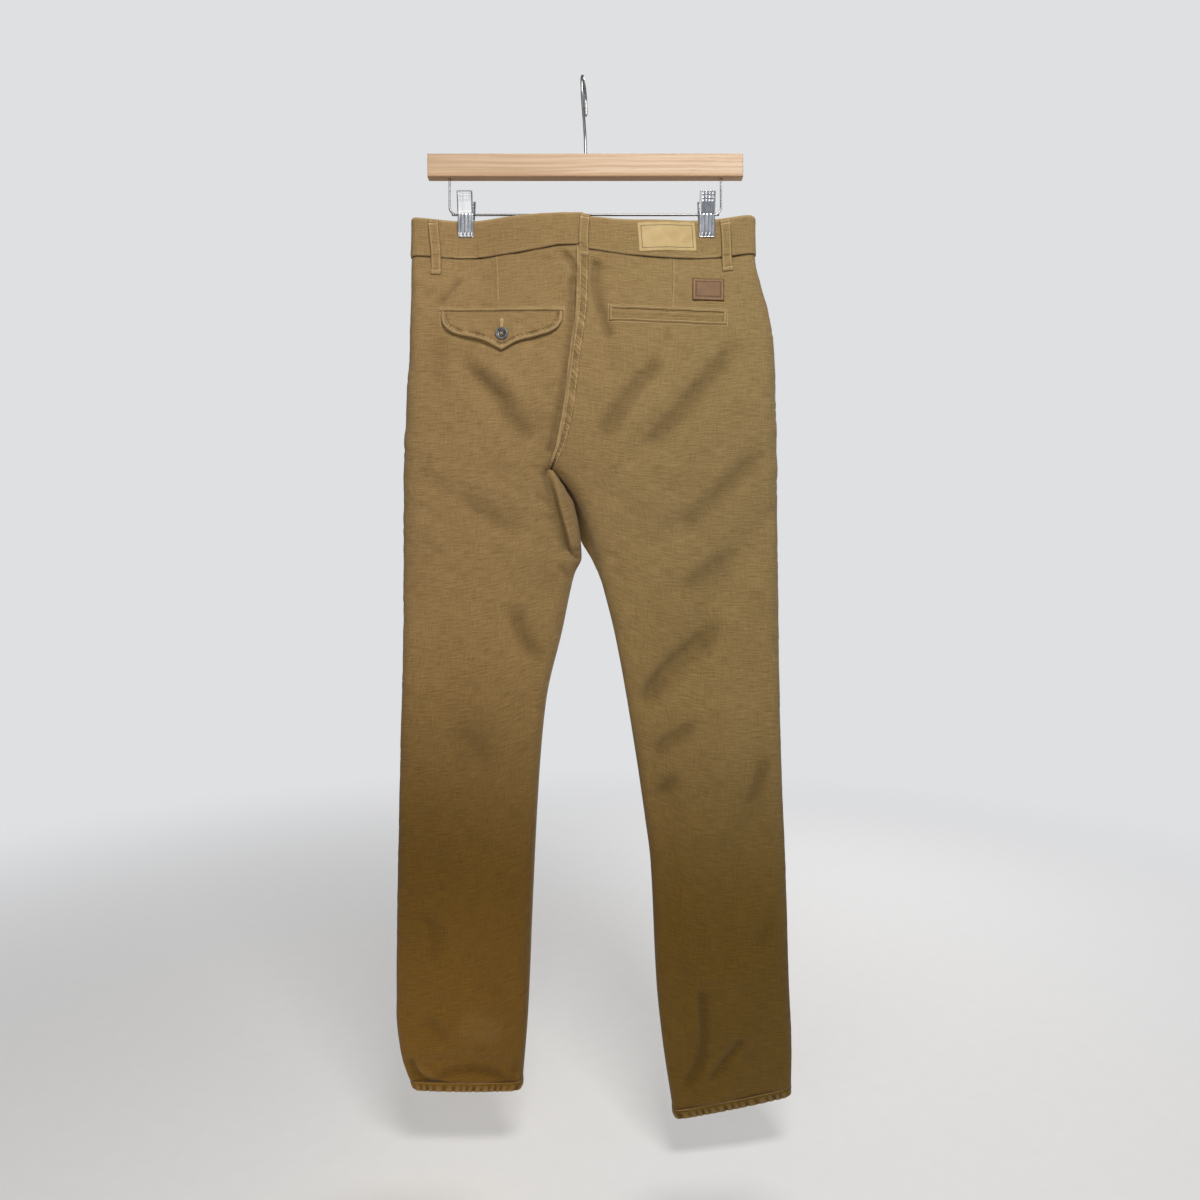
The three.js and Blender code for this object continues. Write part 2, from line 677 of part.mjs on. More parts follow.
function seatSeam() {
  const line = (offset) => (t) => {
    const z = THREE.MathUtils.lerp(SEAT_SEAM_TOP_Z, SEAT_SEAM_END_Z, t);
    return [centreX(z) + offset * (1 - 0.35 * t), z];
  };
  return sewnOn("back", between(line(-SEAT_SEAM_WIDTH / 2), line(SEAT_SEAM_WIDTH / 2), 20, 3), TRIM_WALL);
}

// The buttoned flap: straight along the top, rounded at its corners and swept down to a soft point.
const FLAP = { x: -95, halfWidth: 71.2, top: -285.8, wall: 2.2 };
const FLAP_LOWER_EDGE = [
  { fromPoint: 0, z: -334.2 },
  { fromPoint: 6, z: -332 },
  { fromPoint: 15, z: -326.8 },
  { fromPoint: 29, z: -321.4 },
  { fromPoint: 45, z: -317 },
  { fromPoint: 58, z: -312.5 },
  { fromPoint: 66.5, z: -306 },
  { fromPoint: 70, z: -299 },
  { fromPoint: 71.2, z: -293 },
];
const flapEdgeZ = curveThrough(FLAP_LOWER_EDGE, "z", "fromPoint");

function pocketFlap() {
  const x = (t) => FLAP.x - FLAP.halfWidth * Math.cos(Math.PI * t) * (0.72 + 0.28 * Math.abs(Math.cos(Math.PI * t)));
  const top = (t) => [x(t), FLAP.top];
  const bottom = (t) => [x(t), flapEdgeZ(Math.abs(x(t) - FLAP.x))];
  const lift = (_, down) => LIFT + 0.5 * down;
  return sewnOn("back", between(top, bottom, 20, 3), FLAP.wall, lift);
}

// A sew-through button: a dished disc standing on what it fastens.
function button(radius, thickness, { face, x, z, lift }) {
  const dish = 0.35 * thickness;
  const profile = [
    [0, 0],
    [0.8 * radius, 0],
    [radius, 0.35 * thickness],
    [radius, 0.8 * thickness],
    [0.88 * radius, thickness],
    [0.62 * radius, thickness],
    [0.5 * radius, thickness - dish],
    [0, thickness - dish],
  ].map(([r, h]) => new THREE.Vector2(r, h));
  const geometry = new THREE.LatheGeometry(profile, 20);
  const normal = clothNormal(sideAt(x, z), face, x, z);
  const turn = new THREE.Quaternion().setFromUnitVectors(new THREE.Vector3(0, 1, 0), normal);
  const foot = pointOnCloth(face, x, z).addScaledVector(normal, lift);
  return geometry.applyQuaternion(turn).translate(foot.x, foot.y, foot.z);
}

// The fly: a placket that laps from the wearer's left over the centre, curved in at its foot, and the
// zip that it covers.
const FLY = { width: 36, lap: 5, top: -224, foot: -392 };
const ZIP = { width: 14, wall: 1.0, top: -225, foot: -380 };

function flyPlacket() {
  const edge = (reach) => (t) => {
    const z = THREE.MathUtils.lerp(FLY.top, FLY.foot, t);
    return [centreX(z) + reach(Math.max(0, (t - 0.72) / 0.28)), z];
  };
  const free = edge((foot) => FLY.lap * (1 - 0.6 * foot));
  const sewn = edge((foot) => -FLY.width * Math.sqrt(1 - 0.93 * foot ** 2));
  return sewnOn("front", between(sewn, free, 16, 4), TRIM_WALL, () => 2 * LIFT + ZIP.wall);
}

function flyZip() {
  const edge = (offset) => (t) => {
    const z = THREE.MathUtils.lerp(ZIP.top, ZIP.foot, t);
    return [centreX(z) - 5 + offset, z];
  };
  return sewnOn("front", between(edge(-ZIP.width / 2), edge(ZIP.width / 2), 10, 2), ZIP.wall);
}

// The edge of a slanted front pocket, from the waist seam out towards the side seam.
function frontPocketEdge(side) {
  const sign = SIGN[side];
  const edgeWidth = 9;
  const line = (offset) => (t) => [
    sign * (THREE.MathUtils.lerp(132, 186, t) + offset),
    THREE.MathUtils.lerp(-224, -366, t),
  ];
  return sewnOn("front", between(line(-edgeWidth / 2), line(edgeWidth / 2), 14, 2), TRIM_WALL);
}

// ---------- the hanger ----------

const BAR = { x: 2.2, length: 377, top: -90.6, height: 27.4, thick: 12, edge: 1.2 };
const HOOK = { wire: 3.4, innerRadius: 16, tipZ: -31, turn: -6.5, shankX: 2.6 };
const ROD = { wire: 2.6, left: -160.5, right: 165, z: -161.4, corner: 9 };
const CLIP = { width: 17.6, plate: 1.2, topZ: -138.7, bottomZ: -190.4, topY: 14, pivotY: 7.6 };
const SPRING = { radius: 4.6, length: 13 };
const FIT_GAP = 0.3;

// A round bar through points, with a section at each of them.
function roundBar(points, diameter) {
  const curve = new THREE.CatmullRomCurve3(points, false, "centripetal");
  curve.getUtoTmapping = (u) => u;
  const section = new THREE.Shape();
  const sides = 8;
  for (let i = 0; i < sides; i++) {
    const angle = (2 * Math.PI * i) / sides;
    const corner = [Math.cos(angle), Math.sin(angle)].map((v) => (v * diameter) / 2);
    if (i) section.lineTo(...corner);
    else section.moveTo(...corner);
  }
  section.closePath();
  const steps = points.length - 1;
  return new THREE.ExtrudeGeometry(section, { steps, extrudePath: curve, curveSegments: 1 });
}

function hangerBar() {
  const e = BAR.edge;
  const [w, h] = [BAR.length / 2 - e, BAR.height / 2 - e];
  const shape = new THREE.Shape([
    new THREE.Vector2(-w, -h),
    new THREE.Vector2(w, -h),
    new THREE.Vector2(w, h),
    new THREE.Vector2(-w, h),
  ]);
  const bevel = { depth: BAR.thick - 2 * e, bevelEnabled: true, bevelSize: e, bevelThickness: e, bevelSegments: 3 };
  const geometry = new THREE.ExtrudeGeometry(shape, bevel);
  geometry.translate(0, 0, -BAR.thick / 2 + e);
  geometry.rotateX(Math.PI / 2);
  return geometry.translate(BAR.x, 0, BAR.top - BAR.height / 2);
}

// The hook: up from the bar, forward, over the seat and down behind it, in a plane turned a little.
function hangerHook() {
  const radius = HOOK.innerRadius + HOOK.wire / 2;
  const seatCentreZ = -HOOK.innerRadius;
  const points = [
    [0, BAR.top + FIT_GAP],
    [0, BAR.top + 16],
    [-1, BAR.top + 26],
    [-4.5, BAR.top + 37],
    [-9.5, BAR.top + 46],
    [-14.5, BAR.top + 55],
    [-17, BAR.top + 64],
  ];
  for (let i = 0; i <= 12; i++) {
    const angle = Math.PI * (1.04 - 1.04 * (i / 12));
    points.push([radius * Math.cos(angle), seatCentreZ + radius * Math.sin(angle)]);
  }
  points.push([radius, HOOK.tipZ]);
  const turn = THREE.MathUtils.degToRad(HOOK.turn);
  const path = points.map(([y, z]) => {
    const lean = HOOK.shankX * THREE.MathUtils.clamp(z / BAR.top, 0, 1);
    return new THREE.Vector3(lean - y * Math.sin(turn), y * Math.cos(turn), z);
  });
  return roundBar(path, HOOK.wire);
}

// The wire frame under the bar that the clips slide on.
function hangerRod() {
  const underBar = BAR.top - BAR.height - FIT_GAP;
  const { left, right, z, corner } = ROD;
  const bend = (x, inward) =>
    [0, 0.25, 0.5, 0.75, 1].map((t) => {
      const angle = (Math.PI / 2) * t;
      return [x + inward * corner * (1 - Math.cos(angle)), z + corner * (1 - Math.sin(angle))];
    });
  const path = [
    [left, underBar],
    [left, (underBar + z) / 2],
    ...bend(left, 1),
    ...[0.25, 0.5, 0.75].map((t) => [THREE.MathUtils.lerp(left, right, t), z]),
    ...bend(right, -1).reverse(),
    [right, (underBar + z) / 2],
    [right, underBar],
  ];
  return roundBar(path.map(([x, height]) => new THREE.Vector3(x, 0, height)), ROD.wire);
}

// One plate of a clip, bent at the pivot: a handle above it and a jaw with a lip below it.
function clipPlate(x, face) {
  const sign = SIGN[face];
  const jawY = JAW_HALF_GAP + FIT_GAP;
  const t = CLIP.plate;
  const profile = [
    [CLIP.topY, CLIP.topZ],
    [CLIP.pivotY, ROD.z],
    [jawY + 1.4, CLIP.bottomZ + 5],
    [jawY, CLIP.bottomZ + 2.4],
    [jawY, CLIP.bottomZ],
    [jawY + t, CLIP.bottomZ],
    [jawY + 1.4 + t, CLIP.bottomZ + 5],
    [CLIP.pivotY + t, ROD.z],
    [CLIP.topY + t, CLIP.topZ],
  ];
  const shape = new THREE.Shape(profile.map(([y, z]) => new THREE.Vector2(sign * y, z)));
  const geometry = new THREE.ExtrudeGeometry(shape, { depth: CLIP.width, bevelEnabled: false });
  // The outline is drawn in Y and Z, and the plate's width runs along X.
  const axes = new THREE.Matrix4().makeBasis(
    new THREE.Vector3(0, 1, 0),
    new THREE.Vector3(0, 0, 1),
    new THREE.Vector3(1, 0, 0),
  );
  return geometry.applyMatrix4(axes).translate(x - CLIP.width / 2, 0, 0);
}

// The spring between a clip's plates, a ring that slides on the rod.
function clipSpring(x) {
  const [inner, outer, half] = [ROD.wire / 2 + FIT_GAP, SPRING.radius, SPRING.length / 2];
  const ring = [
    [inner, -half],
    [outer, -half],
    [outer, half],
    [inner, half],
    [inner, -half],
  ].map(([r, h]) => new THREE.Vector2(r, h));
  return new THREE.LatheGeometry(ring, 16).rotateZ(Math.PI / 2).translate(x, 0, ROD.z);
}

// ---------- the object ----------

const finish = (color, roughness, metalness = 0) =>
  new THREE.MeshStandardMaterial({ color, roughness, metalness });
const MATERIAL = {
  cloth: finish(0x8f7245, 0.92),
  wood: finish(0xd9b285, 0.55),
  steel: finish(0xb8babd, 0.25, 1),
  leather: finish(0x7a5230, 0.6),
  label: finish(0xc9a765, 0.7),
  button: finish(0x55585e, 0.3),
};

const trousers = new THREE.Group();
function add(name, geometry, material = MATERIAL.cloth) {
  const mesh = new THREE.Mesh(geometry, material);
  mesh.name = name;
  trousers.add(mesh);
}

add("hanger_bar", hangerBar(), MATERIAL.wood);
add("hanger_hook", hangerHook(), MATERIAL.steel);
add("hanger_rod", hangerRod(), MATERIAL.steel);
["left", "right"].forEach((side, i) => {
  add(`clip_${side}_back_plate`, clipPlate(CLIP_X[i], "back"), MATERIAL.steel);
  add(`clip_${side}_front_plate`, clipPlate(CLIP_X[i], "front"), MATERIAL.steel);
  add(`clip_${side}_spring`, clipSpring(CLIP_X[i]), MATERIAL.steel);
});

for (const side of ["left", "right"]) {
  add(`back_${side}`, panel(side, "back", { arc: 2, mid: 12, arcShare: 0.1 }, 36));
  add(`front_${side}`, panel(side, "front", { arc: 2, mid: 8, arcShare: 0.1 }, 28));
  add(`waistband_${side}`, waistband(side));
  add(`hem_${side}`, hem(side));
  add(`front_pocket_${side}`, frontPocketEdge(side));
}
add("seat_seam", seatSeam());
add("fly_zip", flyZip());
add("fly_placket", flyPlacket());

const MOUTH = { x: -95.3, z: -282.6, width: 147, height: 4.6 };
const WELT = { x: 99.5, z: -289.5, width: 134, height: 14.5, turn: -2.2 };
add("back_pocket_mouth", sewnOn("back", rectangle(MOUTH, 14, 1), 1.2));
add("back_pocket_flap", pocketFlap());
add("back_pocket_welt", sewnOn("back", rectangle(WELT, 16, 2), TRIM_WALL));
const ON_FLAP = { face: "back", x: -94.8, z: -313.2, lift: LIFT + 0.5 + FLAP.wall + 0.4 };
add("back_pocket_button", button(7.6, 3.4, ON_FLAP), MATERIAL.button);
const ON_BAND = { face: "front", x: -12, z: -199, lift: 0.5 };
add("waist_button", button(8.5, 3.6, ON_BAND), MATERIAL.button);

const PATCH = { x: 147.5, z: -257, width: 37.5, height: 28, turn: -1.5 };
const LABEL = { x: 99.5, z: -192, width: 70, height: 35.5, turn: 4 };
add("leather_patch", sewnOn("back", rectangle(PATCH, 4, 3), 1.4), MATERIAL.leather);
add("waistband_label", sewnOn("back", rectangle(LABEL, 8, 3), 0.9), MATERIAL.label);

const LOOPS = [
  { name: "loop_centre_back", face: "back", top: [1.5, -169.5], bottom: [0, -217] },
  { name: "loop_side_left", face: "back", top: [-178.5, -171], bottom: [-174.5, -237.5] },
  { name: "loop_side_right", face: "back", top: [169, -170], bottom: [172, -234] },
  { name: "loop_front_left", face: "front", top: [-84, -175.5], bottom: [-84, -235] },
  { name: "loop_front_right", face: "front", top: [88, -175.5], bottom: [88, -234] },
];
for (const loop of LOOPS) add(loop.name, beltLoop(loop));

export default trousers;
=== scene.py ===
# Slim chino trousers in tan cotton canvas, hung by the waistband from a wooden clip hanger.
#
# Sizes are in millimetres, as a maker measures them, and every mesh is made in metres. The frame has
# its origin at the inside top of the hook, +Z up, -Y on the seat side, and -X on the wearer's left.
import math

import bpy
import numpy as np
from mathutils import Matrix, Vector
from mathutils.bvhtree import BVHTree


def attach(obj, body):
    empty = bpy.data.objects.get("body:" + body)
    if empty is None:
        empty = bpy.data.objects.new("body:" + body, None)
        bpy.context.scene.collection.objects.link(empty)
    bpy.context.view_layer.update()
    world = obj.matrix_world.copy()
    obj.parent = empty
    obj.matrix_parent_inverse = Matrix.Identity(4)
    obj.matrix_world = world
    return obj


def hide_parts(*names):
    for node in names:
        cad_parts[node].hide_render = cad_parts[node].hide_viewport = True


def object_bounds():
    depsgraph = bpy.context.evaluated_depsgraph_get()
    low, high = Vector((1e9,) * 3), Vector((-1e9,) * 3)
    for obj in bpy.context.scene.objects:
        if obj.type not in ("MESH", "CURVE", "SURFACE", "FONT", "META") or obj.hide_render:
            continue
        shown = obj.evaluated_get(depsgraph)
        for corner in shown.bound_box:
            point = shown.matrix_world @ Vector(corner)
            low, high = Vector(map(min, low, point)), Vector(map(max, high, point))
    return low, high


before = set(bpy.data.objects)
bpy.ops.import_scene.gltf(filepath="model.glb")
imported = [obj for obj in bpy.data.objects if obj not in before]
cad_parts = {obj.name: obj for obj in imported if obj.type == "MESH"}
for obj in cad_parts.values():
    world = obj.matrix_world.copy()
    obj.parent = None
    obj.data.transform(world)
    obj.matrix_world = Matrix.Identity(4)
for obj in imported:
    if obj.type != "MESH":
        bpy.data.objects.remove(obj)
cad_low, cad_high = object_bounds()

# ---------- camera, floor and light ----------
# The camera looks level at the seat side from just under a metre, as high as the middle of the thighs.
# The floor is a plain pale sheet under the hems, and its edge fades out into the pale surroundings.
camera = bpy.data.objects.new("camera", bpy.data.cameras.new("camera"))
camera.location = (0.0198, -0.960, -0.6234)
camera.rotation_euler = (math.radians(90), 0, 0)
camera.data.lens = 24
camera.data.sensor_width = 36
bpy.context.scene.collection.objects.link(camera)
bpy.context.scene.camera = camera
bpy.context.scene.view_settings.view_transform = "Standard"

SURROUNDINGS = (0.74, 0.745, 0.76)
AMBIENT_STRENGTH = 0.07
MIRRORED_STRENGTH = 0.32
FLOOR_Z = cad_low.z - 0.06
FLOOR_RADIUS = 2.4
FLOOR_SIDES = 64
FLOOR_FADES = (0.5, FLOOR_RADIUS - 0.1)


class Shade:
    """A socket in a material's node tree, so that shader maths reads as plain expressions."""

    def __init__(self, tree, socket=None):
        self.tree = tree
        self.socket = socket

    def add(self, kind, inputs=None, out=0, **settings):
        """Any node: its type, its settings, the values or links of its sockets, and the output to use."""
        node = self.tree.nodes.new(kind)
        for name, value in settings.items():
            setattr(node, name, value)
        for name, value in (inputs or {}).items():
            if isinstance(value, Shade):
                self.tree.links.new(value.socket, node.inputs[name])
            elif isinstance(value, tuple) and len(value) == 3 and node.inputs[name].type == "RGBA":
                node.inputs[name].default_value = (*value, 1)
            else:
                node.inputs[name].default_value = value
        return Shade(self.tree, node.outputs[out])

    def maths(self, operation, *values):
        return self.add("ShaderNodeMath", dict(enumerate(values)), operation=operation)

    def __add__(self, other):
        return self.maths("ADD", self, other)

    def __sub__(self, other):
        return self.maths("SUBTRACT", self, other)

    def __rsub__(self, other):
        return self.maths("SUBTRACT", other, self)

    def __mul__(self, other):
        return self.maths("MULTIPLY", self, other)

    __radd__ = __add__
    __rmul__ = __mul__

    def between(self, low, high):
        """0 below low, 1 above high, and a soft step from one to the other."""
        step = {"Value": self, "From Min": low, "From Max": high}
        return self.add("ShaderNodeMapRange", step, interpolation_type="SMOOTHSTEP")

    def mix(self, first, second, factor, blend="MIX"):
        """Two colours, the second laid over the first by a factor."""
        colours = {0: factor, 6: first, 7: second}
        return self.add("ShaderNodeMix", colours, 2, data_type="RGBA", blend_type=blend)

    def noise(self, place, scale, detail=3, stretch=None):
        """Fractal noise at a place, in cycles a metre, stretched where a scale for each axis is given."""
        if stretch:
            place = self.add("ShaderNodeMapping", {"Vector": place, "Scale": stretch})
        return self.add("ShaderNodeTexNoise", {"Vector": place, "Scale": scale, "Detail": detail})

    def axis(self, place, name):
        """One coordinate of a place, by its name."""
        return self.add("ShaderNodeSeparateXYZ", {"Vector": place}, "XYZ".index(name))


def new_material(name):
    """An empty material, and the Shade that adds to it."""
    material = bpy.data.materials.new(name)
    material.use_nodes = True
    material.node_tree.nodes.clear()
    return material, Shade(material.node_tree)


def finish_material(shade, surface):
    """The last shader of a material, joined to its output."""
    output = shade.tree.nodes.new("ShaderNodeOutputMaterial")
    shade.tree.links.new(surface.socket, output.inputs["Surface"])


def polished(shade, inputs):
    """The one shader of a plain material, from the values or links of its sockets."""
    finish_material(shade, shade.add("ShaderNodeBsdfPrincipled", inputs))


floor_paint, shade = new_material("floor_paint")
place = shade.add("ShaderNodeTexCoord", out="Object")
from_middle = shade.add("ShaderNodeVectorMath", {0: place}, "Value", operation="LENGTH")
grain = shade.noise(place, 40)
pale = shade.mix((0.70, 0.705, 0.72), SURROUNDINGS, grain)
paint = shade.add("ShaderNodeBsdfPrincipled", {
    "Base Color": pale, "Roughness": 0.8, "Emission Color": (0.72, 0.73, 0.75), "Emission Strength": 0.24,
})
clear = shade.add("ShaderNodeBsdfTransparent")
faded = from_middle.between(*FLOOR_FADES)
finish_material(shade, shade.add("ShaderNodeMixShader", {0: faded, 1: paint, 2: clear}))

turns = [2 * math.pi * k / FLOOR_SIDES for k in range(FLOOR_SIDES)]
rim = [(FLOOR_RADIUS * math.cos(turn), FLOOR_RADIUS * math.sin(turn), 0) for turn in turns]
floor_mesh = bpy.data.meshes.new("floor")
floor_mesh.from_pydata(rim, [], [tuple(range(FLOOR_SIDES))])
floor_mesh.materials.append(floor_paint)
floor = bpy.data.objects.new("floor", floor_mesh)
floor.location = (0, 0, FLOOR_Z)
bpy.context.scene.collection.objects.link(floor)

world = bpy.data.worlds.new("surroundings")
world.use_nodes = True
world.node_tree.nodes.clear()
shade = Shade(world.node_tree)
seen = shade.add("ShaderNodeBackground", {"Color": SURROUNDINGS, "Strength": 1.0})
felt = shade.add("ShaderNodeBackground", {"Color": (1.0, 0.95, 0.88), "Strength": AMBIENT_STRENGTH})
mirrored = shade.add("ShaderNodeBackground", {"Color": (0.95, 0.97, 1.0), "Strength": MIRRORED_STRENGTH})
straight = shade.add("ShaderNodeLightPath", out="Is Camera Ray")
glossy = shade.add("ShaderNodeLightPath", out="Is Glossy Ray")
felt_or_mirrored = shade.add("ShaderNodeMixShader", {0: glossy, 1: felt, 2: mirrored})
both = shade.add("ShaderNodeMixShader", {0: straight, 1: felt_or_mirrored, 2: seen})
world_output = world.node_tree.nodes.new("ShaderNodeOutputWorld")
world.node_tree.links.new(both.socket, world_output.inputs["Surface"])
bpy.context.scene.world = world

# name, place, what it points at, width, height, power, colour, width of its beam in degrees
LIGHTS = [
    ("ceiling_light", (0.26, -1.00, 0.60), (0.0, 0.0, -0.46), 0.6, 0.35, 16, (1.0, 0.97, 0.93), 180),
    ("front_fill", (-0.62, -1.6, -0.35), (-0.05, 0.0, -0.58), 1.2, 1.0, 5, (1.0, 0.94, 0.84), 180),
    ("side_fill", (1.5, -0.7, -0.6), (0.1, 0.0, -0.7), 0.8, 1.4, 2.2, (0.96, 0.98, 1.0), 180),
    ("low_fill", (-0.85, -1.4, -0.8), (-0.15, 0.0, -1.14), 0.9, 0.7, 2.8, (1.0, 0.90, 0.74), 180),
    ("foot_fill", (-0.40, -0.75, -1.06), (-0.15, 0.0, -1.18), 0.18, 0.12, 0.068, (1.0, 0.76, 0.33), 36),
    ("rear_fill", (0.9, 1.5, 0.1), (0.0, 0.0, -0.6), 1.4, 1.2, 24, (1.0, 0.98, 0.95), 180),
]
for name, place, target, width, height, power, colour, beam in LIGHTS:
    light = bpy.data.lights.new(name, "AREA")
    light.shape = "RECTANGLE"
    light.size, light.size_y = width, height
    light.energy = power
    light.spread = math.radians(beam)
    light.color = colour
    lamp = bpy.data.objects.new(name, light)
    lamp.location = place
    lamp.rotation_euler = (Vector(target) - Vector(place)).to_track_quat("-Z", "Y").to_euler()
    bpy.context.scene.collection.objects.link(lamp)

# ---------- hanger bar ----------
# A square-edged bar of pale beech, sanded and left nearly matt. The grain runs along it, with short
# dark flecks, a little wider in the middle, and its lower edge is painted darker and browner as painted
# shade, where the bar turns under.
MM = 0.001
BAR_TOP_Z = -90.6
BAR_HEIGHT = 27.4
BAR_FOOT_Z = BAR_TOP_Z - BAR_HEIGHT

beech, shade = new_material("beech")
place = shade.add("ShaderNodeTexCoord", out="Object")
swirl = shade.noise(place, 5, 2)
sway = shade.add("ShaderNodeVectorMath", {0: (0.0, 0.006, 0.009), "Scale": swirl}, operation="SCALE")
bent = shade.add("ShaderNodeVectorMath", {0: place, 1: sway}, operation="ADD")
rings = shade.noise(bent, 1, 5, stretch=(6, 330, 330))
pores = shade.noise(bent, 1, 2, stretch=(90, 1500, 1500)).between(0.62, 0.78)
pale_wood = shade.mix((0.62, 0.445, 0.295), (0.47, 0.305, 0.18), rings.between(0.35, 0.75))
flecked = shade.mix(pale_wood, (0.36, 0.20, 0.09), pores * 0.35)
# Painted shade: the bar's lower edge is painted darker and browner, where the bar turns under away from the
# light.
lower_edge = 1 - shade.axis(place, "Z").between((BAR_FOOT_Z + 0.8) * MM, (BAR_FOOT_Z + 4.5) * MM)
underside_painted_shade = shade.mix(flecked, (0.42, 0.20, 0.07), lower_edge * 0.45)
relief = shade.add("ShaderNodeBump", {"Height": rings - pores, "Strength": 0.25, "Distance": 0.0004})
polished(shade, {"Base Color": underside_painted_shade, "Roughness": 0.42 + rings * 0.18, "Normal": relief})
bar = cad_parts["hanger_bar"]
bar.data.materials.clear()
bar.data.materials.append(beech)

# ---------- hook and rod ----------
# Two lengths of bright plated wire: the hook is screwed up into the bar, and the rod hangs under it
# with both ends pressed into the wood. Each is one wire, bent cold, with its cut ends rounded.
HOOK_WIRE = 3.4
HOOK_INNER_RADIUS = 16
HOOK_TIP_Z = -31
HOOK_TURN = math.radians(-6.5)
HOOK_SHANK_X = 2.6
ROD_WIRE = 2.6
ROD_LEFT, ROD_RIGHT, ROD_Z, ROD_CORNER = -160.5, 165, -161.4, 9


def new_piece(name, points, faces, material):
    """A mesh object at the origin, from points in millimetres."""
    mesh = bpy.data.meshes.new(name)
    mesh.from_pydata([tuple(point) for point in np.asarray(points) * MM], [], faces)
    mesh.materials.append(material)
    mesh.polygons.foreach_set("use_smooth", [True] * len(mesh.polygons))
    mesh.update()
    piece = bpy.data.objects.new(name, mesh)
    bpy.context.scene.collection.objects.link(piece)
    return piece


def fit_piece(piece, slot, *nodes):
    """Fix a piece to the one body, in place of the nodes that it stands for; its slot is not used."""
    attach(piece, "root")
    if nodes:
        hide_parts(*nodes)


def smooth_line(points, steps):
    """A centripetal curve through points, with the same number of steps between each pair."""
    points = np.asarray(points, float)
    padded = np.vstack([2 * points[0] - points[1], points, 2 * points[-1] - points[-2]])
    line = []
    for p0, p1, p2, p3 in zip(padded, padded[1:], padded[2:], padded[3:]):
        for t in np.arange(steps) / steps:
            line.append(
                0.5 * (2 * p1 + (p2 - p0) * t + (2 * p0 - 5 * p1 + 4 * p2 - p3) * t**2
                       + (3 * p1 - p0 - 3 * p2 + p3) * t**3)
            )
    return np.vstack([line, points[-1]])


def wire_mesh(line, radius, sides=14):
    """Points and faces of a round wire along a line, with domed ends."""
    line = np.asarray(line, float)
    ahead = np.gradient(line, axis=0)
    ahead /= np.linalg.norm(ahead, axis=1)[:, None]
    side = np.cross(ahead[0], (0.3, 1, 0.2))
    dome = [(math.cos(a), math.sin(a)) for a in np.radians([8, 35, 62])]
    rings = []
    frames = []
    for point, along in zip(line, ahead):
        side = side - along * side.dot(along)
        side /= np.linalg.norm(side)
        frames.append((point, along, side, np.cross(along, side)))
    stations = [(frames[0], -back, out) for back, out in dome] + [(f, 0, 1) for f in frames]
    stations += [(frames[-1], back, out) for back, out in reversed(dome)]
    for (point, along, across, up), back, out in stations:
        angles = [2 * math.pi * k / sides for k in range(sides)]
        rings += [
            point + along * back * radius
            + (across * math.cos(a) + up * math.sin(a)) * radius * out for a in angles
        ]
    faces = []
    for j in range(len(stations) - 1):
        for k in range(sides):
            a, b = j * sides + k, j * sides + (k + 1) % sides
            faces.append((a, b, b + sides, a + sides))
    last = (len(stations) - 1) * sides
    faces.append(tuple(reversed(range(sides))))
    faces.append(tuple(last + k for k in range(sides)))
    return rings, faces


plated, shade = new_material("plated_wire")
place = shade.add("ShaderNodeTexCoord", out="Object")
smears = shade.noise(place, 60, 2)
tint = shade.mix((0.15, 0.155, 0.165), (0.36, 0.36, 0.355), smears)
polished(shade, {"Base Color": tint, "Metallic": 1.0, "Roughness": 0.24 + smears * 0.16})

hook_radius = HOOK_INNER_RADIUS + HOOK_WIRE / 2
shank = [(0, 0), (0, 16), (-1, 26), (-4.5, 37), (-9.5, 46), (-14.5, 55), (-17, 64)]
hook_line = [(y, BAR_TOP_Z + up) for y, up in shank]
for step in range(13):
    angle = math.pi * 1.04 * (1 - step / 12)
    hook_line.append((hook_radius * math.cos(angle), -HOOK_INNER_RADIUS + hook_radius * math.sin(angle)))
hook_line.append((hook_radius, HOOK_TIP_Z))
hook_path = [
    (HOOK_SHANK_X * min(max(z / BAR_TOP_Z, 0), 1) - y * math.sin(HOOK_TURN), y * math.cos(HOOK_TURN), z)
    for y, z in hook_line
]
hook = new_piece("hook", *wire_mesh(smooth_line(hook_path, 5), HOOK_WIRE / 2, 18), plated)
fit_piece(hook, "hanger_wire", "hanger_hook")

corner_steps = [math.pi / 2 * t for t in (0, 0.25, 0.5, 0.75, 1)]
left_bend = [
    (ROD_LEFT + ROD_CORNER * (1 - math.cos(a)), 0, ROD_Z + ROD_CORNER * (1 - math.sin(a)))
    for a in corner_steps
]
right_bend = [
    (ROD_RIGHT - ROD_CORNER * (1 - math.cos(a)), 0, ROD_Z + ROD_CORNER * (1 - math.sin(a)))
    for a in reversed(corner_steps)
]
halfway_z = (BAR_FOOT_Z + ROD_Z) / 2
rod_path = [(ROD_LEFT, 0, BAR_FOOT_Z), (ROD_LEFT, 0, halfway_z), *left_bend]
rod_path += [(x, 0, ROD_Z) for x in (-80, 0, 80)]
rod_path += [*right_bend, (ROD_RIGHT, 0, halfway_z), (ROD_RIGHT, 0, BAR_FOOT_Z)]
rod = new_piece("rod", *wire_mesh(smooth_line(rod_path, 6), ROD_WIRE / 2, 16), plated)
fit_piece(rod, "hanger_wire", "hanger_rod")

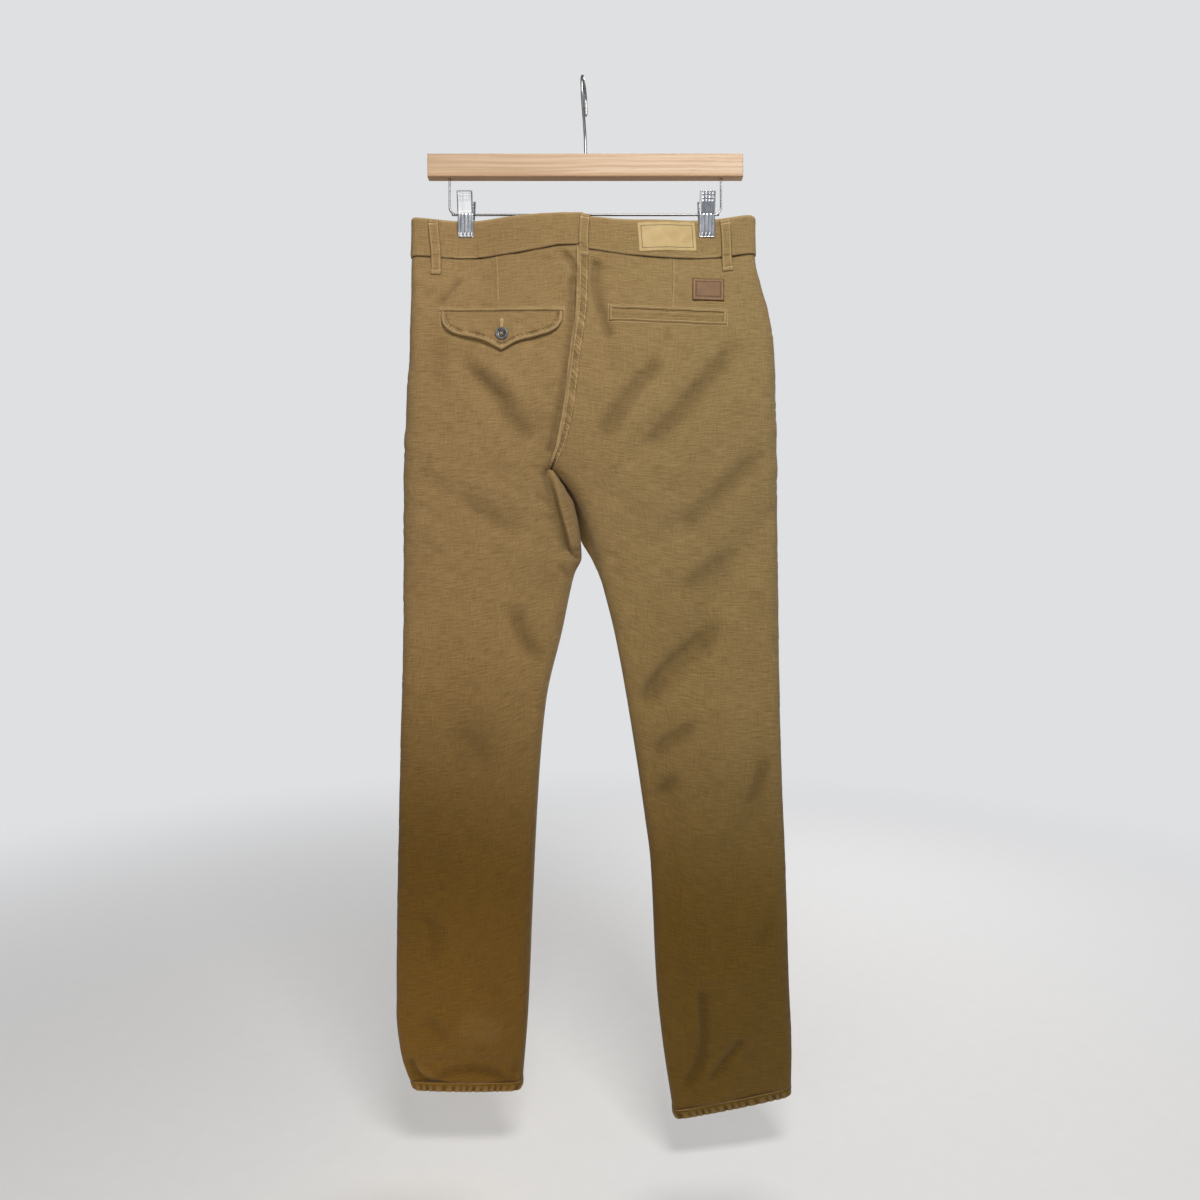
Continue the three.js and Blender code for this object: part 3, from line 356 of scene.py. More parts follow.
# ---------- clips ----------
# Each clip is two pressed plates of chromed steel with a coil spring between them. The handle above
# the rod is pierced with small square holes, and the jaw below it is fluted down to its lip.
CLIP_X = {"left": -140.5, "right": 147.5}
CLIP_WIDTH = 17.6
CLIP_PLATE = 1.2
CLIP_TOP_Z, CLIP_TOP_Y = -138.7, 14.0
CLIP_PIVOT_Y = 7.6
CLIP_BOTTOM_Z = -190.4
JAW_HALF_GAP = 3.2
CLIP_HOLES = {"columns": 4, "rows": 3, "first": 3, "cells": 4}  # in cells of the plate's grid
FLUTES = 4
FLUTE_DEPTH = 0.55
CELLS_ACROSS = 36
SPRING_HALF_LENGTH = 5.6
SPRING_RADIUS = 3.6
SPRING_TURNS = 6
SPRING_WIRE = 1.0
SPRING_END_Y, SPRING_END_Z = 8.4, ROD_Z + 11

chrome, shade = new_material("chrome")
place = shade.add("ShaderNodeTexCoord", out="Object")
wiped = shade.noise(place, 220, 4, stretch=(1, 1, 0.25))
tint = shade.mix((0.38, 0.41, 0.465), (0.67, 0.70, 0.745), wiped)
scuffs = shade.add("ShaderNodeBump", {"Height": wiped, "Strength": 0.15, "Distance": 0.0002})
polished(shade, {"Base Color": tint, "Metallic": 1.0, "Roughness": 0.12 + wiped * 0.2, "Normal": scuffs})

jaw_y = JAW_HALF_GAP + 0.3
clip_profile = [  # height, distance from the rod's plane, how deep the flutes are
    (CLIP_TOP_Z, CLIP_TOP_Y, 0), (CLIP_TOP_Z - 1, CLIP_TOP_Y - 0.9, 0),
    (ROD_Z + 1.5, CLIP_PIVOT_Y + 0.5, 0), (ROD_Z, CLIP_PIVOT_Y, 0), (ROD_Z - 2, CLIP_PIVOT_Y - 0.9, 0),
    (ROD_Z - 3, CLIP_PIVOT_Y - 0.9, 1), (CLIP_BOTTOM_Z + 5, jaw_y + 1.4, 1),
    (CLIP_BOTTOM_Z + 2.4, jaw_y + 0.15, 0.6), (CLIP_BOTTOM_Z + 1.2, jaw_y, 0),
    (CLIP_BOTTOM_Z, jaw_y + 0.1, 0),
]
profile_z, profile_y, profile_flute = np.array(clip_profile).T
cell = CLIP_WIDTH / CELLS_ACROSS
row_z = np.arange(CLIP_TOP_Z, CLIP_BOTTOM_Z - 0.01, -cell)
row_y = np.interp(-row_z, -profile_z, profile_y)
row_flute = np.interp(-row_z, -profile_z, profile_flute)
bars = CLIP_HOLES["cells"]


def is_hole(row, column):
    """Whether a cell of the plate is cut out, in a lattice of square holes under the plate's top."""
    down, across = row - CLIP_HOLES["first"], column - bars
    in_rows = 0 <= down < 2 * bars * CLIP_HOLES["rows"] and down % (2 * bars) < bars
    in_columns = 0 <= across < 2 * bars * CLIP_HOLES["columns"] and across % (2 * bars) < bars
    return in_rows and in_columns


def clip_plate(name, middle_x, face_sign):
    """One pressed plate of a clip, fluted and pierced, given its wall and rounded edges by modifiers."""
    across = (np.arange(CELLS_ACROSS + 1) / CELLS_ACROSS - 0.5) * CLIP_WIDTH
    flute = np.cos(across / CLIP_WIDTH * 2 * math.pi * FLUTES) * FLUTE_DEPTH / 2
    round_edge = 0.7 * np.clip(np.abs(across) / (CLIP_WIDTH / 2) * 6 - 5, 0, 1) ** 2
    points = []
    for z, y, depth in zip(row_z, row_y, row_flute):
        out = y - 0.1 + flute * depth - round_edge
        points += [(middle_x + x, face_sign * o, z) for x, o in zip(across, out)]
    wide = CELLS_ACROSS + 1
    faces = []
    for row in range(len(row_z) - 1):
        for column in range(CELLS_ACROSS):
            if is_hole(row, column):
                continue
            a = row * wide + column
            quad = (a, a + 1, a + wide + 1, a + wide)
            faces.append(quad if face_sign > 0 else quad[::-1])
    plate = new_piece(name, points, faces, chrome)
    wall = plate.modifiers.new("wall", "SOLIDIFY")
    wall.thickness = CLIP_PLATE * MM
    wall.offset = 1
    rounding = plate.modifiers.new("rounding", "BEVEL")
    rounding.width = 0.22 * MM
    rounding.segments = 2
    rounding.angle_limit = math.radians(50)
    return plate


for side, middle_x in CLIP_X.items():
    for face, face_sign in (("back", -1), ("front", 1)):
        plate = clip_plate(f"clip_{side}_{face}", middle_x, face_sign)
        fit_piece(plate, "clip_steel", f"clip_{side}_{face}_plate")
    first_x, last_x = middle_x - SPRING_HALF_LENGTH, middle_x + SPRING_HALF_LENGTH
    coil = [(first_x, SPRING_END_Y, SPRING_END_Z)]
    for t in np.linspace(0, 1, 120):
        angle = t * SPRING_TURNS * 2 * math.pi
        y, z = SPRING_RADIUS * math.cos(angle), ROD_Z + SPRING_RADIUS * math.sin(angle)
        coil.append((first_x + (last_x - first_x) * t, y, z))
    coil.append((last_x, SPRING_END_Y, SPRING_END_Z))
    spring = new_piece(f"spring_{side}", *wire_mesh(coil, SPRING_WIRE / 2, 8), plated)
    fit_piece(spring, "clip_steel", f"clip_{side}_spring")

# ---------- back and front panels ----------
# Two back and two front panels of heavy tan cotton canvas, seamed down the sides, the inseams and the
# middle of the seat. Each is a thin shell on its solid's form, garment-washed, so that the cloth is
# softly creased all over, puckered along its seams and rubbed paler where it stands proud.
SIGN = {"left": -1, "right": 1, "back": -1, "front": 1}
PANEL_WALL = 1.2
WAIST_SEAM_Z = -215
WAIST_SHAPE_ENDS_Z = -330
FORK_STARTS_Z = -375
CROTCH_Z = -469
HEM_TOP_Z = -1196
HEM_SLOPE_STARTS_Z = -950
EDGE_SQUARENESS = 2.6  # 2 is round
JAW_BOTTOM_Z = -190
JAW_HALF_WIDTH = 10
PINCH_WIDTH = 32
PINCH_FADE = 45


class Curve:
    """A smooth curve through rows of (place, value), which never swings past the rows beside it."""

    def __init__(self, *rows):
        self.at, self.value = np.array(sorted(rows), float).T
        slope = np.diff(self.value) / np.diff(self.at)
        before, after = slope[:-1], slope[1:]
        same = before * after > 0
        middle = np.where(same, 2 * before * after / np.where(same, before + after, 1), 0)
        self.tangent = np.concatenate([slope[:1], middle, slope[-1:]])

    def __call__(self, where):
        p = np.clip(where, self.at[0], self.at[-1])
        k = np.clip(np.searchsorted(self.at, p, side="right") - 1, 0, len(self.at) - 2)
        gap = self.at[k + 1] - self.at[k]
        t = (p - self.at[k]) / gap
        return (
            self.value[k] * (2 * t**3 - 3 * t**2 + 1) + self.tangent[k] * gap * (t**3 - 2 * t**2 + t)
            + self.value[k + 1] * (3 * t**2 - 2 * t**3) + self.tangent[k + 1] * gap * (t**3 - t**2)
        )


# height, distance to the right of the rod's middle
centre_x = Curve((-160, -0.5), (-265, -1.5), (-340, -10), (-400, -17), (-440, -26), (CROTCH_Z, -38))
side_x = {
    "left": Curve(
        (-160, -205), (-300, -206.5), (-400, -211), (-480, -214), (-640, -215), (-800, -219),
        (-1000, -223.5), (-1116, -224.5), (-1165, -219.5), (-1210, -204),
    ),
    "right": Curve(
        (-160, 205), (-215, 205.5), (-251, 213), (-281, 221), (-335, 228), (-440, 230), (-640, 233),
        (-790, 236), (-935, 242), (-1079, 246.5), (-1165, 250), (-1215, 249),
    ),
}
inseam_x = {
    "left": Curve(
        (CROTCH_Z, -38), (-495, -18.5), (-511, -10.5), (-545, -4), (-572, -2), (-592, -10.5),
        (-660, -25.5), (-745, -45), (-845, -54), (-984, -61), (-1116, -66.5), (-1210, -74),
    ),
    "right": Curve(
        (CROTCH_Z, -38), (-499, -12), (-536, 4), (-599, 21), (-667, 38), (-773, 57), (-887, 74),
        (-935, 80), (-1079, 87), (-1139, 93), (-1233, 107),
    ),
}

# height, depth of the back, depth of the front, radius of the fold at the seams
DEPTHS = [
    (-160, 12, 11, 9), (-215, 14, 12, 11), (-270, 21, 14, 18), (-340, 28, 17, 22), (-420, 32, 19, 24),
    (-560, 27, 20, 22), (-700, 24, 20, 20), (-900, 21, 18, 18), (-1080, 19, 16, 16), (-1180, 16, 14, 13),
    (-1240, 14.5, 13, 12),
]
depth_of = {
    "back": Curve(*[(z, back) for z, back, front, fold in DEPTHS]),
    "front": Curve(*[(z, front) for z, back, front, fold in DEPTHS]),
}
fold_radius = Curve(*[(z, fold) for z, back, front, fold in DEPTHS])
swing_at_side = Curve((CROTCH_Z, 0), (-1000, 4), (-1240, 5))
swing_at_inseam = {
    "left": Curve((CROTCH_Z, 0), (-1000, 4), (-1240, 4)),
    "right": Curve((CROTCH_Z, 0), (-1000, -5), (-1240, -12)),
}
fork_roll = Curve((-469, 3), (-475, 11), (-495, 17), (-548, 18), (-578, 8), (-606, 0))
hem_drop = {"left": {"side": 0, "inseam": 0}, "right": {"side": -7, "inseam": -25}}

# distance to the right, height of the waistband's upper edge, height of the seam under it
WAIST = {
    ("back", "left"): [
        (-205, -168.5, -214.5), (-140, -170.5, -215.5), (-85, -167.5, -212), (-50, -165, -206.5),
        (-25, -164, -202), (0, -164, -202),
    ],
    ("back", "right"): [
        (0, -168, -206.5), (20, -170, -209.5), (60, -172.5, -215), (100, -171.5, -217),
        (147, -169, -215), (195, -165.5, -212), (205, -167, -211.5),
    ],
    ("front", "left"): [(-205, -168.5, -214.5), (-120, -172, -218), (20, -176, -222)],
    ("front", "right"): [(-5, -176, -222), (120, -172, -217), (205, -167, -211.5)],
}
waist_top = {key: Curve(*[(x, top) for x, top, seam in rows]) for key, rows in WAIST.items()}
waist_seam = {key: Curve(*[(x, seam) for x, top, seam in rows]) for key, rows in WAIST.items()}

# The largest folds, as in the solids: face, side, width, height above the cloth, line of (x, z)
FOLDS = [
    ("back", "left", 15, -3.5, [(-147, -345), (-100, -388), (-58, -432)]),
    ("back", "left", 24, 2.5, [(-95, -352), (-52, -392)]),
    ("back", "left", 13, -2.5, [(-82, -640), (-64, -695), (-70, -770)]),
    ("back", "left", 14, -2, [(-188, -482), (-128, -520), (-62, -530)]),
    ("back", "left", 26, -2, [(-160, -700), (-150, -900), (-156, -1040)]),
    ("back", "left", 10, -3, [(-186, -1180), (-144, -1168), (-92, -1177)]),
    ("back", "right", 10, -3, [(16, -232), (15, -262), (29, -325), (30, -360)]),
    ("back", "right", 14, -3.5, [(174, -336), (131, -382), (88, -431), (60, -455)]),
    ("back", "right", 20, 2.5, [(190, -385), (120, -450), (70, -505)]),
    ("back", "right", 15, -3.5, [(188, -474), (150, -508), (92, -555)]),
    ("back", "right", 19, -5.5, [(214, -530), (156, -626), (84, -740)]),
    ("back", "right", 22, 2.5, [(206, -610), (165, -700), (140, -800)]),
    ("back", "right", 14, -3.5, [(136, -682), (100, -790), (92, -868)]),
    ("back", "right", 13, -3.5, [(100, -858), (108, -1031), (122, -1175)]),
    ("back", "right", 14, -2.5, [(208, -873), (172, -942), (158, -1044)]),
    ("front", "left", 16, -3, [(-150, -330), (-100, -400), (-62, -440)]),
    ("front", "left", 18, -3.5, [(-60, -560), (-120, -640), (-150, -740)]),
    ("front", "left", 15, -2.5, [(-100, -830), (-150, -900), (-160, -1000)]),
    ("front", "left", 12, -2.5, [(-190, -1160), (-140, -1172), (-95, -1160)]),
    ("front", "right", 16, -3, [(150, -320), (90, -390), (40, -440)]),
    ("front", "right", 18, -4, [(60, -560), (130, -640), (170, -720)]),
    ("front", "right", 16, -2.5, [(120, -820), (170, -900), (185, -1010)]),
    ("front", "right", 12, -2.5, [(130, -1165), (180, -1150), (215, -1165)]),
]


def soft_step(low, high, value):
    """0 at low, 1 at high, and a soft step from one to the other."""
    t = np.clip((value - low) / (high - low), 0, 1)
    return t * t * (3 - 2 * t)


def ridge(distance, width):
    """1 along a line, falling softly to nearly nothing at twice the width."""
    return np.exp(-((distance / width) ** 2))


def inner_x(side, z):
    """Where a half ends towards the middle: at the centre seam above the crotch, at the inseam below."""
    return np.where(z >= CROTCH_Z, centre_x(z), inseam_x[side](z))


def trunk_share(z):
    """1 where both halves are one trunk, 0 where each leg is a tube of its own."""
    t = np.clip((FORK_STARTS_Z - z) / (FORK_STARTS_Z - CROTCH_Z), 0, 1)
    return np.sqrt(1 - t * t)


def turn_in(distance, radius):
    """The rounding of a face as it turns in towards a folded edge, a little flatter than round."""
    t = 1 - np.clip(distance / radius, 0, 1)
    return np.maximum(1 - t**EDGE_SQUARENESS, 0) ** (1 / EDGE_SQUARENESS)


def line_places(line, x, z):
    """Distance to a line, the distance with the sign of its left side, and how far along it, 0 to 1."""
    line = np.asarray(line, float)
    nearest = np.full(x.shape, np.inf)
    signed = np.zeros(x.shape)
    along = np.zeros(x.shape)
    lengths = np.hypot(*np.diff(line, axis=0).T)
    starts = np.concatenate([[0], np.cumsum(lengths)])
    for k, ((x0, z0), (x1, z1)) in enumerate(zip(line, line[1:])):
        dx, dz = x1 - x0, z1 - z0
        t = np.clip(((x - x0) * dx + (z - z0) * dz) / (dx * dx + dz * dz), 0, 1)
        away = np.hypot(x - x0 - t * dx, z - z0 - t * dz)
        closer = away < nearest
        nearest = np.where(closer, away, nearest)
        left = np.sign(dx * (z - z0) - dz * (x - x0))
        signed = np.where(closer, away * left, signed)
        along = np.where(closer, (starts[k] + t * lengths[k]) / starts[-1], along)
    return nearest, signed, along


def fold_height(face, side, x, z):
    """How far the largest folds stand above or below a face."""
    height = np.zeros(x.shape)
    for fold_face, fold_side, width, depth, line in FOLDS:
        if (fold_face, fold_side) == (face, side):
            height += depth * ridge(line_places(line, x, z)[0], width)
    return height


def pinch(depth, x, z):
    """What the clips leave of a face's depth: all of it far away, and the jaws' gap under them."""
    below = np.minimum(z - JAW_BOTTOM_Z + 3, 0)
    fade = ridge(below, PINCH_FADE)
    share = np.ones(x.shape)
    for clip_x in CLIP_X.values():
        beyond_jaw = np.maximum(0, np.abs(x - clip_x) - JAW_HALF_WIDTH)
        near = fade * ridge(beyond_jaw, PINCH_WIDTH)
        share *= 1 - near * (1 - JAW_HALF_GAP / depth)
    return share


def cloth_y(side, face, x, z):
    """Y of a face's outer surface, before the finer creases."""
    x_side, x_inner = side_x[side](z), inner_x(side, z)
    across = np.clip((x - x_inner) / (x_side - x_inner), 0, 1)
    trunk = trunk_share(z)
    radius = fold_radius(z)
    crown = 1 - 0.18 * (trunk * across**2 + (1 - trunk) * (2 * across - 1) ** 2)
    outer_edge = turn_in(np.abs(x_side - x), radius)
    inner_edge = trunk + (1 - trunk) * turn_in(np.abs(x - x_inner), radius)
    depth = depth_of[face](z) * crown
    swing = across * swing_at_side(z) + (1 - across) * swing_at_inseam[side](z)
    stand = depth * pinch(depth, x, z) + fold_height(face, side, x, z)
    return swing + SIGN[face] * outer_edge * inner_edge * stand


def rolled_away(face, side, x, z):
    """How far a point of a front panel rolls to the wearer's left, behind the gap between the legs."""
    if face == "back":
        return 0
    share = np.clip(np.abs(x - inner_x(side, z)) / (1.4 * fold_radius(z)), 0, 1)
    return np.where(z > CROTCH_Z, 0, fork_roll(z) * np.sin(math.pi * np.sqrt(share)))


def ripple(along, spacing, seed):
    """Short waves of uneven height and spacing along a line, from 0 to 1."""
    rng = np.random.default_rng(seed)
    drift = sum(
        rng.uniform(0.15, 0.3) * np.sin(2 * math.pi * along / (spacing * k) + rng.uniform(0, 7))
        for k in (2.3, 3.7, 6.1)
    )
    strength = 0.55 + 0.45 * np.sin(2 * math.pi * along / (spacing * 4.9) + rng.uniform(0, 7))
    return (0.5 + 0.5 * np.cos(2 * math.pi * (along / spacing + drift))) ** 1.4 * strength


def rumple(x, z, length, seed, waves=16, stretch=1.0):
    """Soft uneven waves all over a face, about a given length from crest to crest, from -1 to 1."""
    rng = np.random.default_rng(seed)
    total = np.zeros(np.broadcast(x, z).shape)
    for _ in range(waves):
        angle = rng.uniform(0, 2 * math.pi)
        cycles = 2 * math.pi / (length * rng.uniform(0.65, 1.7))
        phase = rng.uniform(0, 2 * math.pi)
        total += np.sin(cycles * (x * math.cos(angle) + z * math.sin(angle) * stretch) + phase)
    return total / math.sqrt(waves)


# The finer creases: face, side, height, how far each runs out to the left and to the right of its line
# as one goes along it, and the line of (x, z)
CREASES = [
    ("back", "left", -2.7, 3.5, 7, [(-142, -238), (-153, -253), (-166, -270), (-169, -281)]),
    ("back", "left", 1.4, 6, 4, [(-150, -240), (-162, -254), (-174, -272)]),
    ("back", "left", -3.5, 3, 6, [(-28, -208), (-17, -217), (-9, -232), (-8, -246), (-10, -260)]),
    ("back", "left", 2.2, 5, 5, [(-36, -222), (-22, -232), (-17, -250)]),
    ("back", "left", -1.2, 3, 3, [(-56, -217), (-41, -219), (-32, -222)]),
    ("back", "left", -3.2, 10, 7, [(-140, -345), (-101, -384), (-89, -407), (-58, -440)]),
    ("back", "left", 2.2, 8, 12, [(-118, -338), (-84, -372), (-62, -404)]),
    ("back", "left", -1.6, 14, 14, [(-172, -296), (-167, -360), (-149, -394)]),
    ("back", "left", -3.8, 1.6, 7, [(-10, -240), (-11, -300), (-16, -345), (-26, -405), (-38, -455)]),
    ("back", "left", -1.5, 4, 4, [(-24, -368), (-36, -374), (-52, -381)]),
    ("back", "left", -0.9, 2.2, 2.2, [(-107, -300), (-106, -308), (-103, -318)]),
    ("back", "left", -0.9, 2.2, 2.2, [(-84, -303), (-85, -310), (-86, -318)]),
    ("back", "left", -7.5, 0.8, 8, [(-41, -470), (-36, -486), (-30, -508), (-22, -538), (-14, -566)]),
    ("back", "left", 3.4, 11, 0.8, [(-39, -470), (-34.6, -486), (-28.6, -508), (-20.6, -538), (-12.6, -565)]),
    ("back", "left", -4.0, 2.5, 1.2, [(-17, -563), (-12, -570), (-7, -573), (-2, -573)]),
    ("back", "left", -1.8, 4, 4, [(-52, -531), (-40, -526), (-30, -540)]),
    ("back", "left", -1.4, 5, 3, [(-62, -500), (-46, -507), (-34, -520)]),
    ("back", "left", -2.2, 5, 3, [(-33, -580), (-24, -588), (-13, -600)]),
    ("back", "left", -3.0, 12, 7, [(-84, -625), (-77, -655), (-64, -680), (-36, -698)]),
    ("back", "left", -1.4, 3, 3, [(-60, -745), (-50, -752), (-45, -762)]),
    ("back", "left", -1.1, 3, 3, [(-80, -805), (-70, -801), (-60, -800)]),
    ("back", "left", -2.4, 16, 14, [(-164, -762), (-119, -800), (-106, -830)]),
    ("back", "left", -1.8, 12, 9, [(-153, -491), (-109, -528), (-60, -545)]),
    ("back", "left", -1.1, 1.2, 1.2, [(-150, -916), (-147, -926), (-143, -936)]),
    ("back", "left", -1.6, 9, 6, [(-196, -985), (-176, -1020), (-182, -1060)]),
    ("back", "left", -1.9, 9, 9, [(-190, -1110), (-168, -1138), (-150, -1146)]),
    ("back", "left", 1.9, 12, 12, [(-150, -1120), (-118, -1132), (-92, -1128)]),
    ("back", "left", -3.0, 3.2, 6, [(-205, -1164), (-200, -1181), (-187, -1194), (-164, -1198)]),
    ("back", "left", 1.5, 4, 4, [(-199, -1170), (-190, -1184), (-176, -1190)]),
    ("back", "left", -3.0, 6, 5, [(-178, -1194), (-158, -1184), (-130, -1181), (-106, -1186), (-88, -1195)]),
    ("back", "left", -1.8, 4, 5, [(-98, -1198), (-84, -1187), (-82, -1164)]),
    ("back", "right", -3.0, 7, 3, [(15, -218), (12, -243), (15, -267), (23, -295), (30, -322)]),
    ("back", "right", -1.4, 3, 3, [(101, -300), (99, -312), (96, -328)]),
    ("back", "right", -1.2, 3, 4, [(112, -262), (120, -270), (128, -272)]),
    ("back", "right", -3.5, 12, 10, [(98, -336), (66, -368), (40, -405), (14, -446)]),
    ("back", "right", 1.9, 12, 10, [(100, -352), (72, -396), (40, -438)]),
    ("back", "right", -2.7, 12, 8, [(178, -326), (140, -370), (104, -412), (66, -450)]),
    ("back", "right", -2.2, 12, 10, [(218, -436), (186, -472), (152, -508), (108, -548)]),
    ("back", "right", -1.5, 4, 4, [(19, -562), (34, -571), (46, -573)]),
    ("back", "right", -1.8, 5, 4, [(31, -588), (42, -593), (56, -590)]),
    ("back", "right", -3.0, 12, 10, [(184, -562), (146, -589), (107, -619)]),
    ("back", "right", -4.1, 14, 8, [(165, -644), (124, -683), (94, -709), (66, -750)]),
    ("back", "right", -3.2, 10, 7, [(138, -760), (103, -787), (76, -806)]),
    ("back", "right", -2.7, 8, 8, [(114, -824), (98, -843), (86, -859)]),
    ("back", "right", -3.0, 8, 9, [(219, -796), (207, -841), (187, -871)]),
    ("back", "right", 1.4, 14, 14, [(170, -700), (186, -760), (178, -830)]),
    ("back", "right", -3.5, 8, 4, [(137, -1078), (141, -1130), (134, -1170), (117, -1197)]),
    ("back", "right", -2.6, 6, 3.5, [(191, -1138), (165, -1167), (147, -1190)]),
    ("back", "right", -1.4, 8, 8, [(232, -1000), (214, -1015), (206, -1040)]),
    ("front", "left", -2.0, 6, 4, [(-22, -395), (-48, -408), (-84, -404)]),
    ("front", "left", -1.8, 5, 7, [(-26, -425), (-60, -446), (-102, -450)]),
    ("front", "left", -2.2, 8, 6, [(-44, -470), (-88, -500), (-140, -508)]),
    ("front", "left", -1.6, 9, 7, [(-172, -250), (-150, -296), (-120, -330)]),
    ("front", "left", -1.8, 9, 7, [(-30, -640), (-72, -668), (-112, -676)]),
    ("front", "left", -1.4, 6, 8, [(-184, -742), (-140, -768), (-96, -764)]),
    ("front", "left", -1.2, 5, 6, [(-196, -905), (-150, -918), (-120, -934)]),
    ("front", "left", -2.0, 4, 5, [(-182, -1176), (-140, -1164), (-98, -1178)]),
    ("front", "right", -2.0, 4, 6, [(-6, -398), (34, -412), (66, -404)]),
    ("front", "right", -1.8, 7, 5, [(-20, -430), (26, -452), (70, -452)]),
    ("front", "right", -2.2, 6, 8, [(0, -500), (44, -524), (98, -520)]),
    ("front", "right", -1.5, 8, 8, [(180, -260), (158, -300), (132, -336)]),
    ("front", "right", -1.8, 8, 9, [(60, -688), (104, -716), (150, -720)]),
    ("front", "right", -1.4, 7, 7, [(212, -790), (170, -812), (128, -808)]),
    ("front", "right", -1.2, 6, 6, [(226, -950), (190, -968), (150, -962)]),
    ("front", "right", -2.0, 5, 4, [(128, -1190), (168, -1170), (214, -1180)]),
]


# The edge of the cloth that folds over beside the fork: height, x. The columns close up along it.
fork_edge_x = Curve(
    (-455, -46), (-470, -40), (-486, -35.3), (-508, -29.3), (-538, -21.3), (-566, -13.3), (-590, -6),
)
FORK_FOLD_STARTS = (-455, -472)
FORK_FOLD_ENDS = (-576, -562)
FORK_FOLD_REACH = 7
FORK_FOLD_PULL = 0.78


def crease_height(face, side, x, z):
    """How far the finer creases stand above or below a face."""
    height = np.zeros(x.shape)
    for crease_face, crease_side, depth, left_flank, right_flank, line in CREASES:
        if (crease_face, crease_side) != (face, side):
            continue
        reach = 3 * max(left_flank, right_flank)
        xs, zs = zip(*line)
        near = (x > min(xs) - reach) & (x < max(xs) + reach) & (z > min(zs) - reach) & (z < max(zs) + reach)
        if not near.any():
            continue
        curve = smooth_line([(px, 0, pz) for px, pz in line], 5)[:, (0, 2)]
        away, signed, along = line_places(curve, x[near], z[near])
        flank = np.where(signed > 0, left_flank, right_flank)
        length = np.hypot(*np.diff(curve, axis=0).T).sum()
        fade = min(0.4, 3.5 * min(left_flank, right_flank) / length)
        ends = soft_step(0, fade, along) * soft_step(0, fade, 1 - along)
        height[near] += depth * ends * ridge(away, flank)
    return height


def cloth_relief(side, face, x, z):
    """All that stands above or below the plain form of a face: creases, puckers and soft waves."""
    seed = {"back": 10, "front": 30}[face] + {"left": 1, "right": 2}[side]
    edge_out = np.abs(side_x[side](z) - x)
    edge_in = np.abs(x - inner_x(side, z))
    waves = 0.55 * rumple(x, z, 46, seed) + 0.24 * rumple(x, z, 19, seed + 100)
    waves = waves + 0.08 * rumple(x, z, 8, seed + 200)
    side_puckers = 1.3 * np.exp(-edge_out / 10) * (0.5 - ripple(z + 0.3 * edge_out, 19, seed + 5) ** 1.8)
    inner_puckers = 1.2 * np.exp(-edge_in / 7) * (0.5 - ripple(z - 0.3 * edge_in, 16, seed + 6) ** 1.8)
    return crease_height(face, side, x, z) + waves + side_puckers + inner_puckers


def unit(vectors):
    """Vectors of the same way, each one long."""
    return vectors / np.maximum(np.linalg.norm(vectors, axis=-1, keepdims=True), 1e-9)


def grid_normals(grid, outwards):
    """The normal at each point of a grid, turned so that most of them point the outward way."""
    across = np.gradient(grid, axis=1)
    down = np.gradient(grid, axis=0)
    normals = unit(np.cross(across, down))
    return normals if (normals * outwards).sum() > 0 else -normals


def closed_shell(name, outer, inner, material, weave, rub, ring=False):
    """A wall between two grids of points, closed round its rim, with its weave as a UV map in metres.

    The wear-and-shade value is 1 where the surface is rubbed pale, and -1 where shade is painted darker: deep
    in creases, in gaps and under edges.

    In a ring the last column joins the first, and the weave has one column more than the points.
    """
    rows, columns = outer.shape[:2]
    wide = columns + 1 if ring else columns
    at = np.arange(rows * wide).reshape(rows, wide)
    back = at + rows * wide
    quads = [
        np.stack([at[:-1, :-1], at[1:, :-1], at[1:, 1:], at[:-1, 1:]], -1).reshape(-1, 4),
        np.stack([back[:-1, :-1], back[:-1, 1:], back[1:, 1:], back[1:, :-1]], -1).reshape(-1, 4),
        np.stack([at[0, :-1], at[0, 1:], back[0, 1:], back[0, :-1]], -1),
        np.stack([at[-1, :-1], back[-1, :-1], back[-1, 1:], at[-1, 1:]], -1),
    ]
    if not ring:
        quads.append(np.stack([at[:-1, 0], back[:-1, 0], back[1:, 0], at[1:, 0]], -1))
        quads.append(np.stack([at[:-1, -1], at[1:, -1], back[1:, -1], back[:-1, -1]], -1))
    corners = np.concatenate(quads)
    points = np.concatenate([outer.reshape(-1, 3), inner.reshape(-1, 3)])
    layer, j, i = corners // (rows * wide), corners % (rows * wide) // wide, corners % wide
    faces = layer * rows * columns + j * columns + i % columns
    a, b, c, d = (points[faces[:, k]] - points.mean(0) for k in range(4))
    if (a * (np.cross(b, c) + np.cross(c, d))).sum() < 0:
        faces, corners = faces[:, ::-1], corners[:, ::-1]
    piece = new_piece(name, points, faces.tolist(), material)
    uv = weave.reshape(-1, 2)[corners.ravel() % (rows * wide)] * MM
    piece.data.uv_layers.new(name="weave").data.foreach_set("uv", uv.ravel())
    wear_and_shade_layer = piece.data.attributes.new("rub", "FLOAT", "POINT")
    rub = np.clip(np.broadcast_to(rub, (rows, columns)), -1, 1).ravel()
    wear_and_shade_layer.data.foreach_set("value", np.concatenate([rub, rub]))
    return piece


YARN = 0.8


